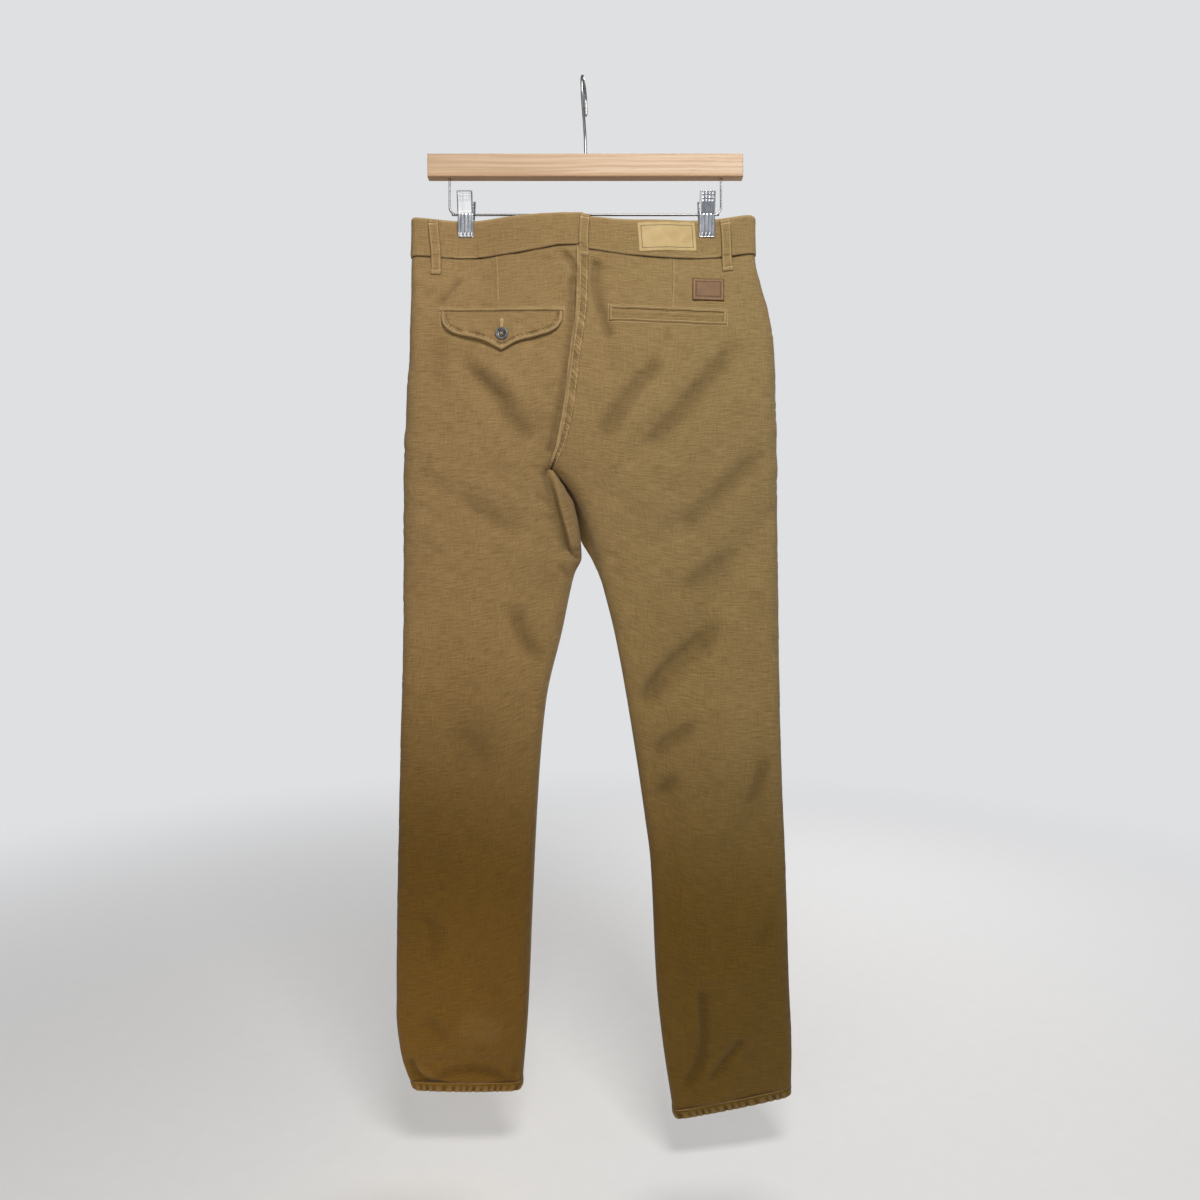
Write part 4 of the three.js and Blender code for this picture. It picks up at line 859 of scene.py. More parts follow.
def canvas_cloth(name, light, dark):
    """Plain-woven cotton canvas: slubby yarn, soft fuzz, paler where rubbed, with painted shade down in
    creases and gaps, towards the hems and on the right-hand side.
    """
    material, shade = new_material(name)
    weave = shade.add("ShaderNodeUVMap", uv_map="weave")
    place = shade.add("ShaderNodeTexCoord", out="Object")
    rub = shade.add("ShaderNodeAttribute", out="Fac", attribute_name="rub")
    turn = 2 * math.pi / (YARN * MM)
    warp = shade.maths("SINE", shade.axis(weave, "X") * turn)
    weft = shade.maths("SINE", shade.axis(weave, "Y") * turn)
    threads = warp * weft
    weft_slubs = shade.noise(weave, 1, 3, stretch=(60, 760, 1))
    warp_slubs = shade.noise(weave, 1, 2, stretch=(800, 55, 1))
    heather = shade.noise(weave, 700, 3)
    patches = shade.noise(place, 7, 4)
    # Painted shade: a cooler olive tint grows towards the right-hand side, where shade falls on the real
    # trousers, and in random patches; the patches also darken it a little at random.
    sides = shade.axis(place, "X").between(-0.16, 0.2)
    slubs = 0.5 + (weft_slubs - 0.5) * 1.05 + (warp_slubs - 0.5) * 0.5
    tone = slubs + (heather - 0.5) * 0.7
    cotton = shade.mix(dark, light, tone.between(0.05, 0.95))
    olive_painted_shade = shade.mix(cotton, (0.84, 1.0, 0.98), (sides * 0.8 + patches * 0.5) * 0.5, "MULTIPLY")
    shaded = shade.mix(olive_painted_shade, (0.86, 0.82, 0.78), patches.between(0.45, 0.7) * 0.35, "MULTIPLY")
    # Painted shade: the light falls off down the legs, so the cloth is painted darker and browner towards the
    # hems, starting higher on the left, with a warm painted tint from the knees down.
    height = shade.axis(place, "Z") + shade.axis(place, "X") * 0.2
    falloff_painted_shade = 1 - height.between(-1.0, -0.66)
    knee_down = 1 - shade.axis(place, "Z").between(-0.74, -0.5)
    warm_painted_light = shade.mix(shaded, (1.0, 0.95, 0.80), knee_down * 0.6, "MULTIPLY")
    falloff_shaded = shade.mix(warm_painted_light, (0.46, 0.375, 0.1), falloff_painted_shade, "MULTIPLY")
    # Painted shade: where the attribute is below 0 the cloth is painted darker, deep in creases, in gaps and
    # under edges; above 0 it is rubbed paler.
    rubbed, painted_crease_shade = shade.maths("MAXIMUM", rub, 0.0), shade.maths("MAXIMUM", rub * -1, 0.0)
    crease_shaded = shade.mix(falloff_shaded, (0.33, 0.31, 0.25), painted_crease_shade * 0.9, "MULTIPLY")
    faded = shade.mix(crease_shaded, (0.56, 0.41, 0.21), rubbed * 0.5)
    surface = threads * 0.35 + weft_slubs * 0.5 + warp_slubs * 0.35 + heather * 0.5
    relief = shade.add("ShaderNodeBump", {"Height": surface, "Strength": 0.55, "Distance": 0.00045})
    polished(shade, {
        "Base Color": faded, "Roughness": 0.86 + heather * 0.1, "Normal": relief,
        "Sheen Weight": 0.12, "Sheen Roughness": 0.5, "Specular IOR Level": 0.25,
    })
    return material


canvas = canvas_cloth("canvas", light=(0.425, 0.280, 0.125), dark=(0.235, 0.142, 0.054))


def folded_edge_places(arc_steps, mid_steps, arc_share):
    """Places across a panel, 0 to 1: close together where it turns at each edge, even between."""
    turning = arc_share * (np.arange(arc_steps) / arc_steps) ** EDGE_SQUARENESS
    middle = arc_share + (1 - 2 * arc_share) * np.arange(mid_steps + 1) / mid_steps
    return np.concatenate([turning, middle, 1 - turning[::-1]])


def panel_levels(count):
    """Heights from the waist seam to the hem, closer together over the seat and the crotch."""
    heights = np.linspace(WAIST_SEAM_Z, HEM_TOP_Z, 2000)
    closeness = 1 + 0.7 * soft_step(-640, -470, heights) + 0.8 * ridge(heights - HEM_TOP_Z, 45)
    closeness += 3 * ridge(heights - WAIST_SEAM_Z, 7)
    sums = np.concatenate([[0], np.cumsum((closeness[1:] + closeness[:-1]) / 2)])
    levels = np.interp(np.linspace(0, sums[-1], count + 1), sums, heights)
    levels[np.abs(levels - CROTCH_Z).argmin()] = CROTCH_Z
    return levels


def hem_slant(side, across):
    """Height of a hem's upper edge over HEM_TOP_Z, from the inseam, 0, to the side seam, 1."""
    return hem_drop[side]["side"] * across + hem_drop[side]["inseam"] * (1 - across)


def row_z(side, face, x, across, level):
    """Height of a panel's row at x: level, but for the waistband's curve above and the hem's slant below."""
    waist = soft_step(WAIST_SHAPE_ENDS_Z, WAIST_SEAM_Z, level)
    hem = soft_step(HEM_SLOPE_STARTS_Z, HEM_TOP_Z, level)
    return level + waist * (waist_seam[face, side](x) - WAIST_SEAM_Z) + hem * hem_slant(side, across)


def sewn_panel(side, face, arc_steps, mid_steps, level_count):
    """One panel, with every crease in it: its outer grid, the outward ways, its weave and its rub."""
    across = folded_edge_places(arc_steps, mid_steps, 0.13)[::-1][None, :]
    level = panel_levels(level_count)[:, None]
    z_side = row_z(side, face, side_x[side](level), 1, level)
    z_inner = row_z(side, face, inner_x(side, level), 0, level)
    x_side, x_inner = side_x[side](z_side), inner_x(side, z_inner)
    x = x_inner + (x_side - x_inner) * across
    folded_aside = 0
    if (face, side) == ("back", "left"):
        off = x - fork_edge_x(level)
        beside_fork = soft_step(*FORK_FOLD_STARTS, level) * soft_step(*FORK_FOLD_ENDS, level)
        pulled = off * ridge(off, FORK_FOLD_REACH) * soft_step(0, FORK_FOLD_REACH, x_inner - x)
        x = x - FORK_FOLD_PULL * pulled * beside_fork
        folded_aside = soft_step(0, 4, x - fork_edge_x(level)) * beside_fork
    z = row_z(side, face, x, across, level)
    z[:, :1], z[:, -1:] = z_side, z_inner
    y = cloth_y(side, face, x, z)
    grid = np.stack([x - rolled_away(face, side, x, z), y, z], -1)
    normals = grid_normals(grid, np.array([0, SIGN[face], 0]))
    girth = np.linalg.norm(np.diff(grid, axis=1), axis=-1).cumsum(axis=1)
    girth = np.concatenate([np.zeros((len(grid), 1)), girth], axis=1)
    from_side, from_inner = girth, girth[:, -1:] - girth
    length = np.linalg.norm(np.diff(grid, axis=0), axis=-1).cumsum(axis=0)
    length = np.concatenate([np.zeros((1, grid.shape[1])), length], axis=0)
    relief = cloth_relief(side, face, x, z)
    seam_dip = -0.9 * ridge(from_side, 1.6) - 1.5 * ridge(length, 2.2)
    near_fork = soft_step(CROTCH_Z + 40, CROTCH_Z + 8, z)
    below_fork = soft_step(CROTCH_Z - 8, CROTCH_Z - 34, z)
    seam_dip = seam_dip - 0.9 * ridge(from_inner, 1.6) * below_fork
    from_free_edge = np.minimum(from_side, from_inner + 20 * (1 - near_fork))
    grid = grid + normals * (relief * soft_step(2, 18, from_free_edge) + seam_dip)[..., None]
    weave = np.stack([SIGN[side] * (girth[:, girth.shape[1] // 2, None] - girth), -length], -1)
    # Paler where rubbed along the seams and a touch paler on crease ridges; painted shade down in the
    # creases, a painted shadow line under the waist seam, and painted shade on the cloth folded aside beside
    # the fork.
    rub = 0.4 * ridge(from_side - 3, 3) + 0.3 * ridge(from_inner - 3, 3) * below_fork
    rub = rub + np.clip(crease_height(face, side, x, z) / 6, -0.42, 0.08) - ridge(length, 2.0)
    rub = rub - 0.2 * folded_aside
    return grid, grid_normals(grid, np.array([0, SIGN[face], 0])), weave, rub


# steps round each turned edge, between them, and down
PANEL_STEPS = {"back": (24, 66, 340), "front": (12, 44, 240)}
for face, (arc_steps, mid_steps, level_count) in PANEL_STEPS.items():
    for side in ("left", "right"):
        grid, normals, weave, rub = sewn_panel(side, face, arc_steps, mid_steps, level_count)
        panel = closed_shell(f"{face}_panel_{side}", grid, grid - normals * PANEL_WALL, canvas, weave, rub)
        fit_piece(panel, "cotton_canvas", f"{face}_{side}")

# ---------- waistband ----------
# A straight band of the same canvas, doubled and pressed, cut in two at the centre back and closed at
# the front. It stands a little proud of the panels, which are caught inside its lower edge.
BAND_PROUD = 1.2
BAND_INSIDE = -1.5
BAND_CLOSES_X = 3
BAND_MIDDLE_Z = -190.0
BAND_COLUMNS = {"back": 90, "fold": 21, "front": 76}


def cloth_normals(side, face, x, z):
    """The outward way of a face, from the slopes of its surface."""
    step = 1.5
    slope_x = (cloth_y(side, face, x + step, z) - cloth_y(side, face, x - step, z)) / (2 * step)
    slope_z = (cloth_y(side, face, x, z + step) - cloth_y(side, face, x, z - step)) / (2 * step)
    return SIGN[face] * unit(np.stack([-slope_x, np.ones(x.shape), -slope_z], -1))


def on_cloth(face, x, z, lift):
    """Points at a height above a face of the cloth, in all its creases, and the outward way there."""
    x, z, lift = (np.array(a, float) for a in np.broadcast_arrays(x, z, lift))
    points, ways = np.zeros((*x.shape, 3)), np.zeros((*x.shape, 3))
    for side, here in (("left", x < centre_x(z)), ("right", x >= centre_x(z))):
        way = cloth_normals(side, face, x, z)
        height = cloth_relief(side, face, x, z) * soft_step(-205, -222, z) + lift
        point = np.stack([x, cloth_y(side, face, x, z), z], -1) + way * height[..., None]
        points[here], ways[here] = point[here], way[here]
    return points, ways


def band_half(side):
    """Half the band, from the centre back round the side to the front, with its weave and its rub."""
    sign = SIGN[side]
    x_side, fold = side_x[side](BAND_MIDDLE_Z), fold_radius(BAND_MIDDLE_Z)
    start_x, fold_x = centre_x(BAND_MIDDLE_Z) + sign * 0.05, x_side - sign * fold
    places = [("back", x) for x in np.linspace(start_x, fold_x, BAND_COLUMNS["back"])]
    for angle in np.linspace(0, math.pi, BAND_COLUMNS["fold"])[1:-1]:
        face = "back" if angle <= math.pi / 2 else "front"
        places.append((face, x_side - sign * fold * (1 - math.sin(angle))))
    end_x = BAND_CLOSES_X + sign * 0.05
    places += [("front", x) for x in np.linspace(fold_x, end_x, BAND_COLUMNS["front"])]
    down = np.array([
        0, 0.008, 0.02, 0.04, 0.08, 0.16, 0.27, 0.4, 0.5, 0.6, 0.73, 0.84, 0.92, 0.96, 0.98, 0.992, 1,
    ])
    columns = []
    for face, x in places:
        half = "right" if face == "front" and x > 0 else side
        top, seam = waist_top[face, half](x), waist_seam[face, half](x)
        z = top + (seam - top) * down
        edge = abs(x - x_side) < 1e-6
        x_here = side_x[half](z) if edge else np.full(z.shape, x)
        columns.append(np.stack([x_here, cloth_y(half, face, x_here, z), z], -1))
    grid = np.stack(columns, axis=1)
    normals = grid_normals(grid, grid - np.array([sign * 100, 0, BAND_MIDDLE_Z]))
    normals[..., 2] = 0
    normals = unit(normals)
    height = waist_top["back", side](0.0) - waist_seam["back", side](0.0)
    from_top, from_seam = down[:, None] * height, (1 - down)[:, None] * height
    from_edge = np.minimum(from_top, from_seam)
    along = np.concatenate([[0], np.linalg.norm(np.diff(grid[8], axis=0), axis=1).cumsum()])[None, :]
    x, z = grid[..., 0], grid[..., 2]
    waves = 0.28 * rumple(along, z, 38, 61, stretch=0.6) + 0.13 * rumple(along, z, 13, 62)
    seam_puckers = 0.55 * np.exp(-from_seam / 7) * (ripple(along, 9, 63) - 0.4)
    top_puckers = 0.3 * np.exp(-from_top / 5) * (ripple(along, 11, 64) - 0.4)
    jaws = sum(ridge(np.maximum(0, np.abs(x - cx) - 9), 5) for cx in CLIP_X.values())
    lift = BAND_PROUD - 1.1 * np.exp(-from_edge / 0.5) + (waves + seam_puckers + top_puckers) * (1 - jaws)
    outer = grid + normals * np.where(jaws > 0.5, np.minimum(lift, 0.2), lift)[..., None]
    weave = np.stack(np.broadcast_arrays(sign * along, z), -1)
    rub = ridge(from_top - 1, 1.6) + 0.5 * ridge(from_seam, 2)
    return outer, grid + normals * BAND_INSIDE, weave, rub


for side in ("left", "right"):
    outer, inner, weave, rub = band_half(side)
    band = closed_shell(f"band_{side}", outer, inner, canvas, weave, rub)
    fit_piece(band, "cotton_canvas", f"waistband_{side}")

# ---------- hems ----------
# The bottom of each leg is turned up inside and stitched through, so the hem is a narrow roped band:
# its outer edge is rolled and rubbed, and short slanting puckers cross it where the layers crept.
HEM_HEIGHT = 12
HEM_PROUD = 0.7
HEM_WALL = 2.2
HEM_SEWN_ROW = 3
ROPE_TWISTS = 34  # round the leg


def hem_ring(side):
    """A hem round the leg, from the side seam over the back and the front, and its row of stitches."""
    places = folded_edge_places(12, 96, 0.11)
    round_leg = [("back", 1 - p) for p in places] + [("front", p) for p in places[1:-1]]
    down = np.array([0, 0.03, 0.08, 0.16, 0.24, 0.32, 0.42, 0.55, 0.7, 0.82, 0.9, 0.96, 1.0])
    columns = []
    for face, across in round_leg:
        z = HEM_TOP_Z + hem_slant(side, across) + 0.6 - HEM_HEIGHT * down
        x_side, x_inner = side_x[side](z), inner_x(side, z)
        x = x_inner + (x_side - x_inner) * across
        columns.append(np.stack([x, cloth_y(side, face, x, z), z], -1))
    grid = np.stack(columns, axis=1)
    across_way = np.roll(grid, -1, axis=1) - np.roll(grid, 1, axis=1)
    normals = unit(np.cross(across_way, np.broadcast_to([0, 0, 1.0], grid.shape)))
    if (normals * (grid - grid.mean(axis=1, keepdims=True))).sum() < 0:
        normals = -normals
    steps = np.linalg.norm(np.roll(grid[6], -1, axis=0) - grid[6], axis=1)
    full_girth = np.concatenate([[0], steps.cumsum()])[None, :]
    girth = full_girth[:, :-1]
    turn = 2 * math.pi * girth / full_girth[0, -1]  # whole waves only, so that the ring closes
    depth_down = down[:, None] * HEM_HEIGHT
    drift = depth_down * 0.25 + 1.6 * np.sin(turn * 3) + np.sin(turn * 7 + 2)
    rope = 1 - (0.5 + 0.5 * np.cos(turn * ROPE_TWISTS + drift)) ** 2.4
    rope = 1 - (1 - rope) * (0.68 + 0.32 * np.sin(turn * 11 + 1))
    lower, upper = soft_step(2.5, 7, depth_down), ridge(depth_down - 2.2, 1.1)
    lift = HEM_PROUD + 1.3 * (rope - 0.7) * lower - upper * (0.6 + 0.4 * rope)
    lift -= 1.1 * np.exp(-(HEM_HEIGHT - depth_down) / 0.7) + np.exp(-depth_down / 0.5)
    outer = grid + normals * lift[..., None]
    outer[..., 2] -= 0.15 * lower * (rope - 0.6)
    weave = np.stack(np.broadcast_arrays(full_girth, -depth_down), -1)
    # Paler where rubbed on the rolled edge and the pucker tops; painted shade in the pucker troughs and a
    # painted shadow line along the hem's upper edge.
    rub = 0.5 * ridge(HEM_HEIGHT - depth_down, 2.0) + 0.3 * rope * lower
    rub = rub - (1 - rope) * lower - 0.8 * ridge(depth_down - 0.5, 0.8)
    sewn_row = outer[HEM_SEWN_ROW] * MM, normals[HEM_SEWN_ROW]
    return outer, grid - normals * HEM_WALL, weave, rub, sewn_row


hem_rows = {}
for side in ("left", "right"):
    outer, inner, weave, rub, hem_rows[side] = hem_ring(side)
    hem = closed_shell(f"hem_fold_{side}", outer, inner, canvas, weave, rub, ring=True)
    fit_piece(hem, "cotton_canvas", f"hem_{side}")

# ---------- seat seam and darts ----------
# The middle seam of the seat is felled: one edge is folded over the other and stitched down, so a band
# runs from the waistband to the crotch, with a step on its left and slanting puckers across it. A dart
# over each back pocket takes in the waist, and shows as a short pressed fold.
SEAT_SEAM_TOP_Z, SEAT_SEAM_END_Z = -203, -466
SEAT_SEAM_WIDTH = Curve((-203, 14.5), (-400, 14), (-445, 11.5), (-466, 8))
SEAT_STITCH_SHARES = (0.36, 0.86)  # across the band, from its folded edge
DART_WIDTH = 8.5


def shares(rows, columns):
    """How far each point of a grid is down and across it, 0 to 1."""
    return np.meshgrid(np.linspace(0, 1, rows), np.linspace(0, 1, columns), indexing="ij")


def laid_piece(name, face, x, z, outer_lift, inner_lift, rub, material=canvas):
    """A piece that lies on a face of the cloth, from the heights of its outer and inner sides above it."""
    outer, _ = on_cloth(face, x, z, outer_lift)
    inner, _ = on_cloth(face, x, z, inner_lift)
    return closed_shell(name, outer, inner, material, np.stack([x, z], -1), rub)


down, across = shares(220, 26)
z = SEAT_SEAM_TOP_Z + (SEAT_SEAM_END_Z - SEAT_SEAM_TOP_Z) * down
width = SEAT_SEAM_WIDTH(z)
x = centre_x(z) + (across - 0.5) * width
pull = ripple(z + 0.9 * across * width, 6.3, 71)
stand = 1.9 - 0.6 * soft_step(0.1, 0.8, across) + 0.9 * (pull - 0.45) * soft_step(0.2, 0.45, across)
for share in SEAT_STITCH_SHARES:
    stand -= 0.5 * ridge(across - share, 0.06)
stand -= 1.3 * np.exp(-across * width / 0.45) + 0.7 * np.exp(-(1 - across) * width / 0.6)
tucked = soft_step(0, 0.02, down) * soft_step(0, 0.03, 1 - down)
# Paler where rubbed on the folded edge and the pucker tops, and a little paler all over; painted shade in the
# pucker troughs and a painted shadow line along the step at the folded edge.
rub = 0.9 * ridge(across * width - 1.2, 1.3) + 0.6 * pull * ridge(across - 0.8, 0.2)
rub = rub + 0.25 - 0.7 * (1 - pull) ** 3 * soft_step(0.2, 0.5, across) - 1.5 * np.exp(-across * width / 0.4)
seat_band = laid_piece("seat_seam_band", "back", x, z, stand * tucked + 0.1, -0.5, rub)
fit_piece(seat_band, "cotton_canvas", "seat_seam")

# name, x at the top, top height, x at the foot, foot height, which way the fold faces
DARTS = [
    ("dart_left", -101.5, -216.5, -97.5, -271, 1),
    ("dart_right", 105.5, -220, 104.5, -280, -1),
]
for name, top_x, top_z, foot_x, foot_z, faces_way in DARTS:
    down, across = shares(60, 12)
    z = top_z + (foot_z - top_z) * down
    width = DART_WIDTH * (1 - 0.6 * down)
    x = top_x + (foot_x - top_x) * down + faces_way * (across - 1) * width + 0.5 * np.sin(down * 5)
    fold = 1.35 * (1 - 0.6 * soft_step(0.55, 1, down)) * across**1.6 * (0.8 + 0.3 * ripple(z, 9, 73))
    fold -= 1.5 * np.exp(-(1 - across) * width / 0.4)
    # Paler where rubbed just inside the fold's edge, and a painted shadow line right at the edge, where it
    # drops to the cloth.
    rub = 0.8 * ridge((1 - across) * width - 1.3, 0.9) - 1.2 * np.exp(-(1 - across) * width / 0.4)
    dart = laid_piece(name, "back", x, z, fold * soft_step(0, 0.1, 1 - down) + 0.12, -0.5, rub)
    fit_piece(dart, "cotton_canvas")

# ---------- left back pocket ----------
# A jetted mouth with a buttoned flap over it. The flap is cut with rounded corners and swept down to a
# soft point, turned right side out and top-stitched, so its edge is a plump roll with puckers inside.
FLAP_X, FLAP_HALF_WIDTH, FLAP_TOP_Z = -95, 71.2, -285.2
FLAP_EDGE_LENGTH = 260
FLAP_STITCH_IN = 5.6
FLAP_HOLE_X, FLAP_HOLE_Z = FLAP_X + 0.3, -304.3
FLAP_DENT_Z = -313  # where the button draws the flap in
MOUTH = {"x": -95.3, "z": -282.4, "width": 147, "height": 5.2, "turn": 0}
flap_edge_z = Curve(
    (0, -333), (6, -329.6), (13, -325.8), (21.5, -321.8), (31.5, -318.8), (41.5, -316.2), (53, -313.2),
    (60, -310.2), (65.5, -305.8), (69, -300.5), (70.6, -295), (71.2, -288),
)  # distance from the point, height


def flap_out(turn):
    """Distance from the flap's point along its width, from its left side, 0, to its right, 1."""
    swing = np.cos(math.pi * turn)
    return -FLAP_HALF_WIDTH * swing * (0.72 + 0.28 * np.abs(swing))


def flap_outline(inset):
    """The flap's sides and lower edge as a line of (x, z), moved in by a distance."""
    out = flap_out(np.linspace(0, 1, 161))
    line = np.stack([FLAP_X + out, flap_edge_z(np.abs(out))], -1)
    line = np.vstack([[line[0, 0], FLAP_TOP_Z], line, [line[-1, 0], FLAP_TOP_Z]])
    along = unit(np.gradient(line, axis=0))
    return line + np.stack([-along[:, 1], along[:, 0]], -1) * inset


towards_edge = np.concatenate([np.linspace(0, 0.78, 26), 1 - 0.22 * np.linspace(1, 0, 27)[1:] ** 1.5])
turn, down = np.meshgrid(np.linspace(0, 1, 161), towards_edge, indexing="xy")
out = flap_out(turn)
x = FLAP_X + out
z = FLAP_TOP_Z + (flap_edge_z(np.abs(out)) - FLAP_TOP_Z) * down
from_edge, _, round_edge = line_places(flap_outline(0), x, z)
pull = ripple(round_edge * FLAP_EDGE_LENGTH + 0.6 * from_edge, 6.8, 75)
plump = 3.1 + 0.6 * ridge(from_edge - 2.4, 1.6) - 1.9 * np.exp(-from_edge / 0.55)
plump += 1.1 * (pull - 0.45) * ridge(from_edge - 5.0, 2.4)
plump -= 0.8 * ridge(from_edge - FLAP_STITCH_IN, 0.8)
from_slit = np.hypot(x - FLAP_HOLE_X, np.maximum(np.abs(z - FLAP_HOLE_Z) - 5.5, 0))
plump -= 0.9 * ridge(from_slit, 0.55)
plump += 1.2 * down**3 + 0.35 * rumple(x, z, 21, 76)
plump -= 0.6 * np.exp(-((x - FLAP_X) ** 2 + (z - FLAP_DENT_Z) ** 2) / 90)
plump *= soft_step(-0.02, 0.07, down) * 0.55 + 0.45
# two soft swells, one on each side of the point
plump += down**2 * (0.7 * ridge(x - FLAP_X + 34, 20) + 0.8 * ridge(x - FLAP_X - 40, 22))
# Paler where rubbed on the rolled edge and the pucker tops; painted shade in the pucker troughs and a painted
# shadow along the flap's top, under the jet.
rub = ridge(from_edge - 1.6, 1.5) + 0.5 * pull * ridge(from_edge - 5, 2.5)
rub = rub - 0.8 * (1 - pull) ** 3 * ridge(from_edge - 5.5, 2.2) - ridge(down, 0.035)
flap = laid_piece("pocket_flap", "back", x, z, plump, 0.25 + 2.5 * down**4, rub)
fit_piece(flap, "cotton_canvas", "back_pocket_flap")


def on_strip(strip, along, up):
    """The x and z of places along and up from the middle of a straight strip."""
    c, s = math.cos(math.radians(strip["turn"])), math.sin(math.radians(strip["turn"]))
    return strip["x"] + along * c - up * s, strip["z"] + along * s + up * c


def strip_grid(strip, columns, rows):
    """Places of a strip: x, z, how far each is along and up from its middle and in from its edge."""
    along, up = np.meshgrid(np.linspace(-0.5, 0.5, columns), np.linspace(0.5, -0.5, rows), indexing="xy")
    along, up = along * strip["width"], up * strip["height"]
    from_edge = np.minimum(strip["height"] / 2 - np.abs(up), strip["width"] / 2 - np.abs(along))
    return *on_strip(strip, along, up), along, up, from_edge


x, z, along, up, from_edge = strip_grid(MOUTH, 130, 12)
bead = 1.9 - 1.7 * np.exp(-from_edge / 0.8) + 0.4 * (ripple(along, 7.5, 77) - 0.4)
jet = laid_piece("pocket_jet", "back", x, z, bead, -0.4, 0.8 * ridge(up, 1.2))
fit_piece(jet, "cotton_canvas", "back_pocket_mouth")

# ---------- right back pocket ----------
# A single welt set into a slot: the panel's own cloth is folded to a raised frame round the slot and
# stitched outside it, and the welt lies inside, a little sunk, with the mouth gaping along its top.
WELT = {"x": 99.5, "z": -289.3, "width": 138, "height": 19, "turn": -2.2}
WELT_FRAME = 3.4

x, z, along, up, from_edge = strip_grid(WELT, 170, 40)
frame_bead = 1.75 * ridge(from_edge - 2.1, 1.35)
frame_bead += 0.45 * (ripple(along + 0.5 * up, 7.2, 78) - 0.4) * ridge(from_edge - 2, 2)
inside = soft_step(WELT_FRAME, WELT_FRAME + 0.9, from_edge)
gape = ridge(up - (WELT["height"] / 2 - WELT_FRAME - 1.6), 1.3) * inside
open_part = 1 - 0.85 * ridge(along - 3, 7)  # the dart's seam pulls the mouth shut here
welt_roll = 0.95 * inside * ridge(up - 1.4, 2.6) + 0.35 * inside
stand = 0.1 + frame_bead + welt_roll - 1.8 * gape * open_part - 0.4 * np.exp(-from_edge / 0.7)
# Paler where rubbed on the frame's bead and the welt's roll; painted shadow in the gaping mouth and a painted
# shade line just inside the frame.
rub = ridge(from_edge - 2, 1.2) + 0.4 * inside * ridge(up - 2.6, 1.2)
rub = rub * (1 - gape) - 1.4 * gape * open_part - 0.5 * ridge(from_edge - WELT_FRAME - 0.6, 0.5)
welt = laid_piece("pocket_welt", "back", x, z, stand, -1.9, rub)
fit_piece(welt, "cotton_canvas", "back_pocket_welt")

# ---------- buttons ----------
# Dark grey shell buttons, turned with a raised rim and a dished middle, sewn through four holes with
# crossed thread. One closes the flap, and one the waistband at the front.
BUTTON_HOLE_FROM_MIDDLE = 1.75
BUTTON_HOLE_RADIUS = 0.75
FLAP_BUTTON_AT = (-94.8, -313.2)
BAND_BUTTON_AT = (-12, -199)

shell_grey, shade = new_material("shell_grey")
place = shade.add("ShaderNodeTexCoord", out="Object")
clouds = shade.noise(place, 260, 4)
streaks = shade.noise(place, 1, 3, stretch=(500, 500, 90))
figure = (clouds * 0.5 + streaks * 0.5).between(0.35, 0.68)
grey = shade.mix((0.045, 0.048, 0.054), (0.17, 0.18, 0.195), figure)
dish = shade.add("ShaderNodeAttribute", out="Fac", attribute_name="dish")
grey = shade.mix(grey, (0.014, 0.014, 0.016), dish * 0.85)
swirls = shade.add("ShaderNodeBump", {"Height": streaks, "Strength": 0.1, "Distance": 0.0002})
polished(shade, {
    "Base Color": grey, "Roughness": 0.22 + clouds * 0.2, "Normal": swirls, "Coat Weight": 0.5,
    "Coat Roughness": 0.12,
})


